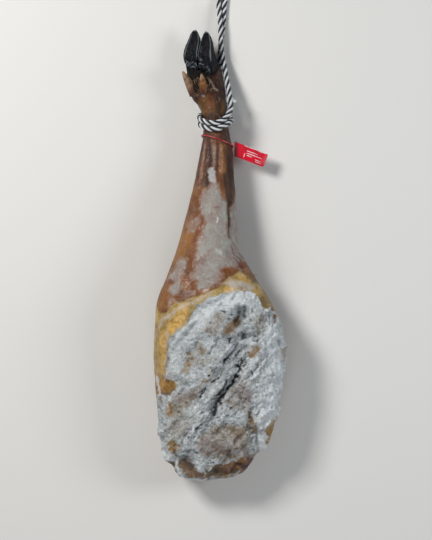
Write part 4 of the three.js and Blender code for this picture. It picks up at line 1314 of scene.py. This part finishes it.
def make_hairs():
    """Wisps on the skin between the dewclaws and at the heel, rooted in the ham's own surface."""
    draw = np.random.default_rng(HAIR_SEED)
    share = np.linspace(0, 1, HAIR_POINTS)[:, None]
    finishes = {}
    for kind, colour in HAIR_TONES.items():
        routes = []
        for low_y, high_y, low_turn, high_turn, count, length in HAIR_FIELDS[kind]:
            for _ in range(count):
                y = np.array(draw.uniform(low_y, high_y) * MM)
                angle = np.radians(np.array(draw.uniform(low_turn, high_turn)))
                normal = skin_normal(y, angle)
                lean = np.array([draw.normal(0, 0.5), draw.normal(0.75, 0.35), 0])
                reach = length * MM * draw.uniform(0.55, 1.1)
                curl = 0.3 * np.cross(normal, lean) * draw.normal(0, 0.5)
                root = slanted(plain_skin(y, angle), y) - HAIR_DEPTH * normal
                bend = share * (0.42 * normal + 0.75 * lean) + np.sin(3 * share) * curl
                routes.append(root + reach * bend)
        finishes[kind] = Finish(kind + "_hair", Roughness=0.6, Base_Color=colour).material
        make_threads("hairs_" + kind, routes, HAIR_RADIUS, "ham", None, finishes[kind])
    bristle = [smooth_route(np.array(route) * MM, BRISTLE_STEP)[0] for route in BRISTLE]
    make_threads("bristle", bristle, BRISTLE_RADIUS, "ham", None, finishes["pale"])


# Strap and tag

def squared(value):
    return np.sign(value) * np.abs(value) ** 0.6


def make_strap(red):
    turn, angle = np.meshgrid(circle(STRAP_RINGS)[::-1], circle(STRAP_SIDES), indexing="ij")
    y = STRAP_Y - STRAP_SLOPE * np.cos(turn) + STRAP_FRONT * np.sin(turn)
    points = round_shank(turn, y, STRAP_OFF + STRAP_THICK * squared(np.cos(angle)))
    points[..., 1] += STRAP_WIDTH * squared(np.sin(angle))
    fit(grid_mesh("tag_strap_band", points, ends_joined=True), "tag", "tag_strap", red)


def tag_place(x, y, z):
    """From the tag's own plane to the frame: drooped about its short side, then turned in plan."""
    x, z = turned(x, z, TAG_DROOP)
    x, y = turned(x, y, -TAG_TURN)
    return TAG_PLACE + np.stack(np.broadcast_arrays(x, y, z), -1)


def tag_solid(name, rings, node, material):
    """A flat solid on the tag from rings, each an outline in the tag's plane and its height."""
    piece = grid_mesh(name, np.array([tag_place(*outline.T, height) for outline, height in rings]))
    piece.data.flip_normals()
    fit(piece, "tag", node, material)


def tag_outline():
    """The tag's outline in its own plane: slanted left end, two round corners on the right."""
    half = TAG_HEIGHT / 2
    right = TAG_LENGTH - TAG_CORNER
    corners = [
        (right + TAG_CORNER * math.cos(turn), side * (half - TAG_CORNER) + TAG_CORNER * math.sin(turn))
        for side, first in ((-1, -90), (1, 0)) for turn in np.radians(np.linspace(first, first + 90, 9))
    ]
    along_top = [(x, half) for x in np.linspace(right, -TAG_SLANT, 14)[1:]]
    along_bottom = [(x, -half) for x in np.linspace(TAG_SLANT, right, 14)[:-1]]
    return np.array(corners + along_top + along_bottom)


def make_plate(red):
    outline = tag_outline()
    middle = np.array([TAG_LENGTH / 2, 0])
    reach = np.array([TAG_LENGTH, TAG_HEIGHT]) / 2
    half = TAG_THICK / 2
    heights = [(inset, drop * MM - half) for inset, drop in PLATE_RINGS]
    heights += [(0, 0)] + [(inset, -height) for inset, height in reversed(heights)]
    rings = []
    for inset, height in heights:
        share = np.minimum(inset * MM / reach, PLATE_INSET_MOST)
        rings.append((outline + (middle - outline) * share, height))
    tag_solid("tag_plate", rings, "tag", red)


def make_clasp(shaded_red):
    half = TAG_HEIGHT / 2
    low, high = (TAG_SLANT, -half), (-TAG_SLANT, half)
    corners = np.array([low, (low[0] + CLASP_LENGTH, -half), (high[0] + CLASP_LENGTH, half), high])
    middle = corners.mean(axis=0)
    rings = [(middle + (corners - middle) * size, level * CLASP_THICK / 2) for size, level in CLASP_RINGS]
    tag_solid("tag_clasp", rings, "tag", shaded_red)


def make_tag_print_and_highlight(white):
    """Plain bars where the photo's tag has its print, and a painted highlight along the upper edge."""
    for number, (x, y, length, width) in enumerate(TAG_BARS, 1):
        low, high = y - width / 2, y + width / 2
        square = np.array([(x, low), (x + length, low), (x + length, high), (x, high)]) * MM
        tag_solid("tag_bar_%d" % number, [(square, BAR_FOOT), (square, BAR_TOP)], None, white)
    # A pale ragged strip along the upper edge, a painted highlight.
    along = np.linspace(*TAG_HIGHLIGHT_SPAN, HIGHLIGHT_POINTS)
    rise = TAG_HEIGHT / 2 - 0.1 * MM
    depth = MM * (1.0 + 0.8 * noise(along / (4 * MM), 0.3, 2) + 0.6 * noise(along / (1.3 * MM), 0.3, 5))
    highlight_to = rise - np.maximum(depth, HIGHLIGHT_LEAST)
    rows = [(rise, -0.3 * MM), (rise, 0.05 * MM), (highlight_to, 0.05 * MM)]
    rows = np.array([tag_place(along, level, TAG_THICK / 2 + lift) for level, lift in rows])
    fit(grid_mesh("tag_edge_highlight", rows, caps=False, ring_closed=False), "tag", None, white)


set_view()
yarn_white = yarn_finish("pale_yarn", "c6cace", "e6e8ea")
yarn_black = yarn_finish("dark_yarn", "07090e", "171b23")
make_cord(yarn_white, yarn_black)
make_bead(yarn_white)
set_light()
make_ground()
make_ham()
make_hairs()
horn = horn_finish()
for claw_name, shape in CLAWS.items():
    make_claw(claw_name, material=horn, **shape)
dewclaw_horn = {
    "dewclaw_left": dewclaw_finish("tan_horn", "6d543f", "937860"),
    "dewclaw_right": dewclaw_finish("amber_horn", "603a18", "86592a"),
}
for dewclaw_name, shape in DEWCLAWS.items():
    make_dewclaw(dewclaw_name, material=dewclaw_horn[dewclaw_name], **shape)
make_strap(plastic_finish("strap_red", "a3242b", "8a171d"))
make_plate(plastic_finish("red_plastic", "d40a2c", "b80622"))
# The clasp is the tag's red made darker: painted shade on the tag's left end.
make_clasp(plastic_finish("shaded_red_plastic", "8e0a1c", "6d0815"))
make_tag_print_and_highlight(plastic_finish("pale_print_and_highlight", "e8e2e2", "d8c8ca"))
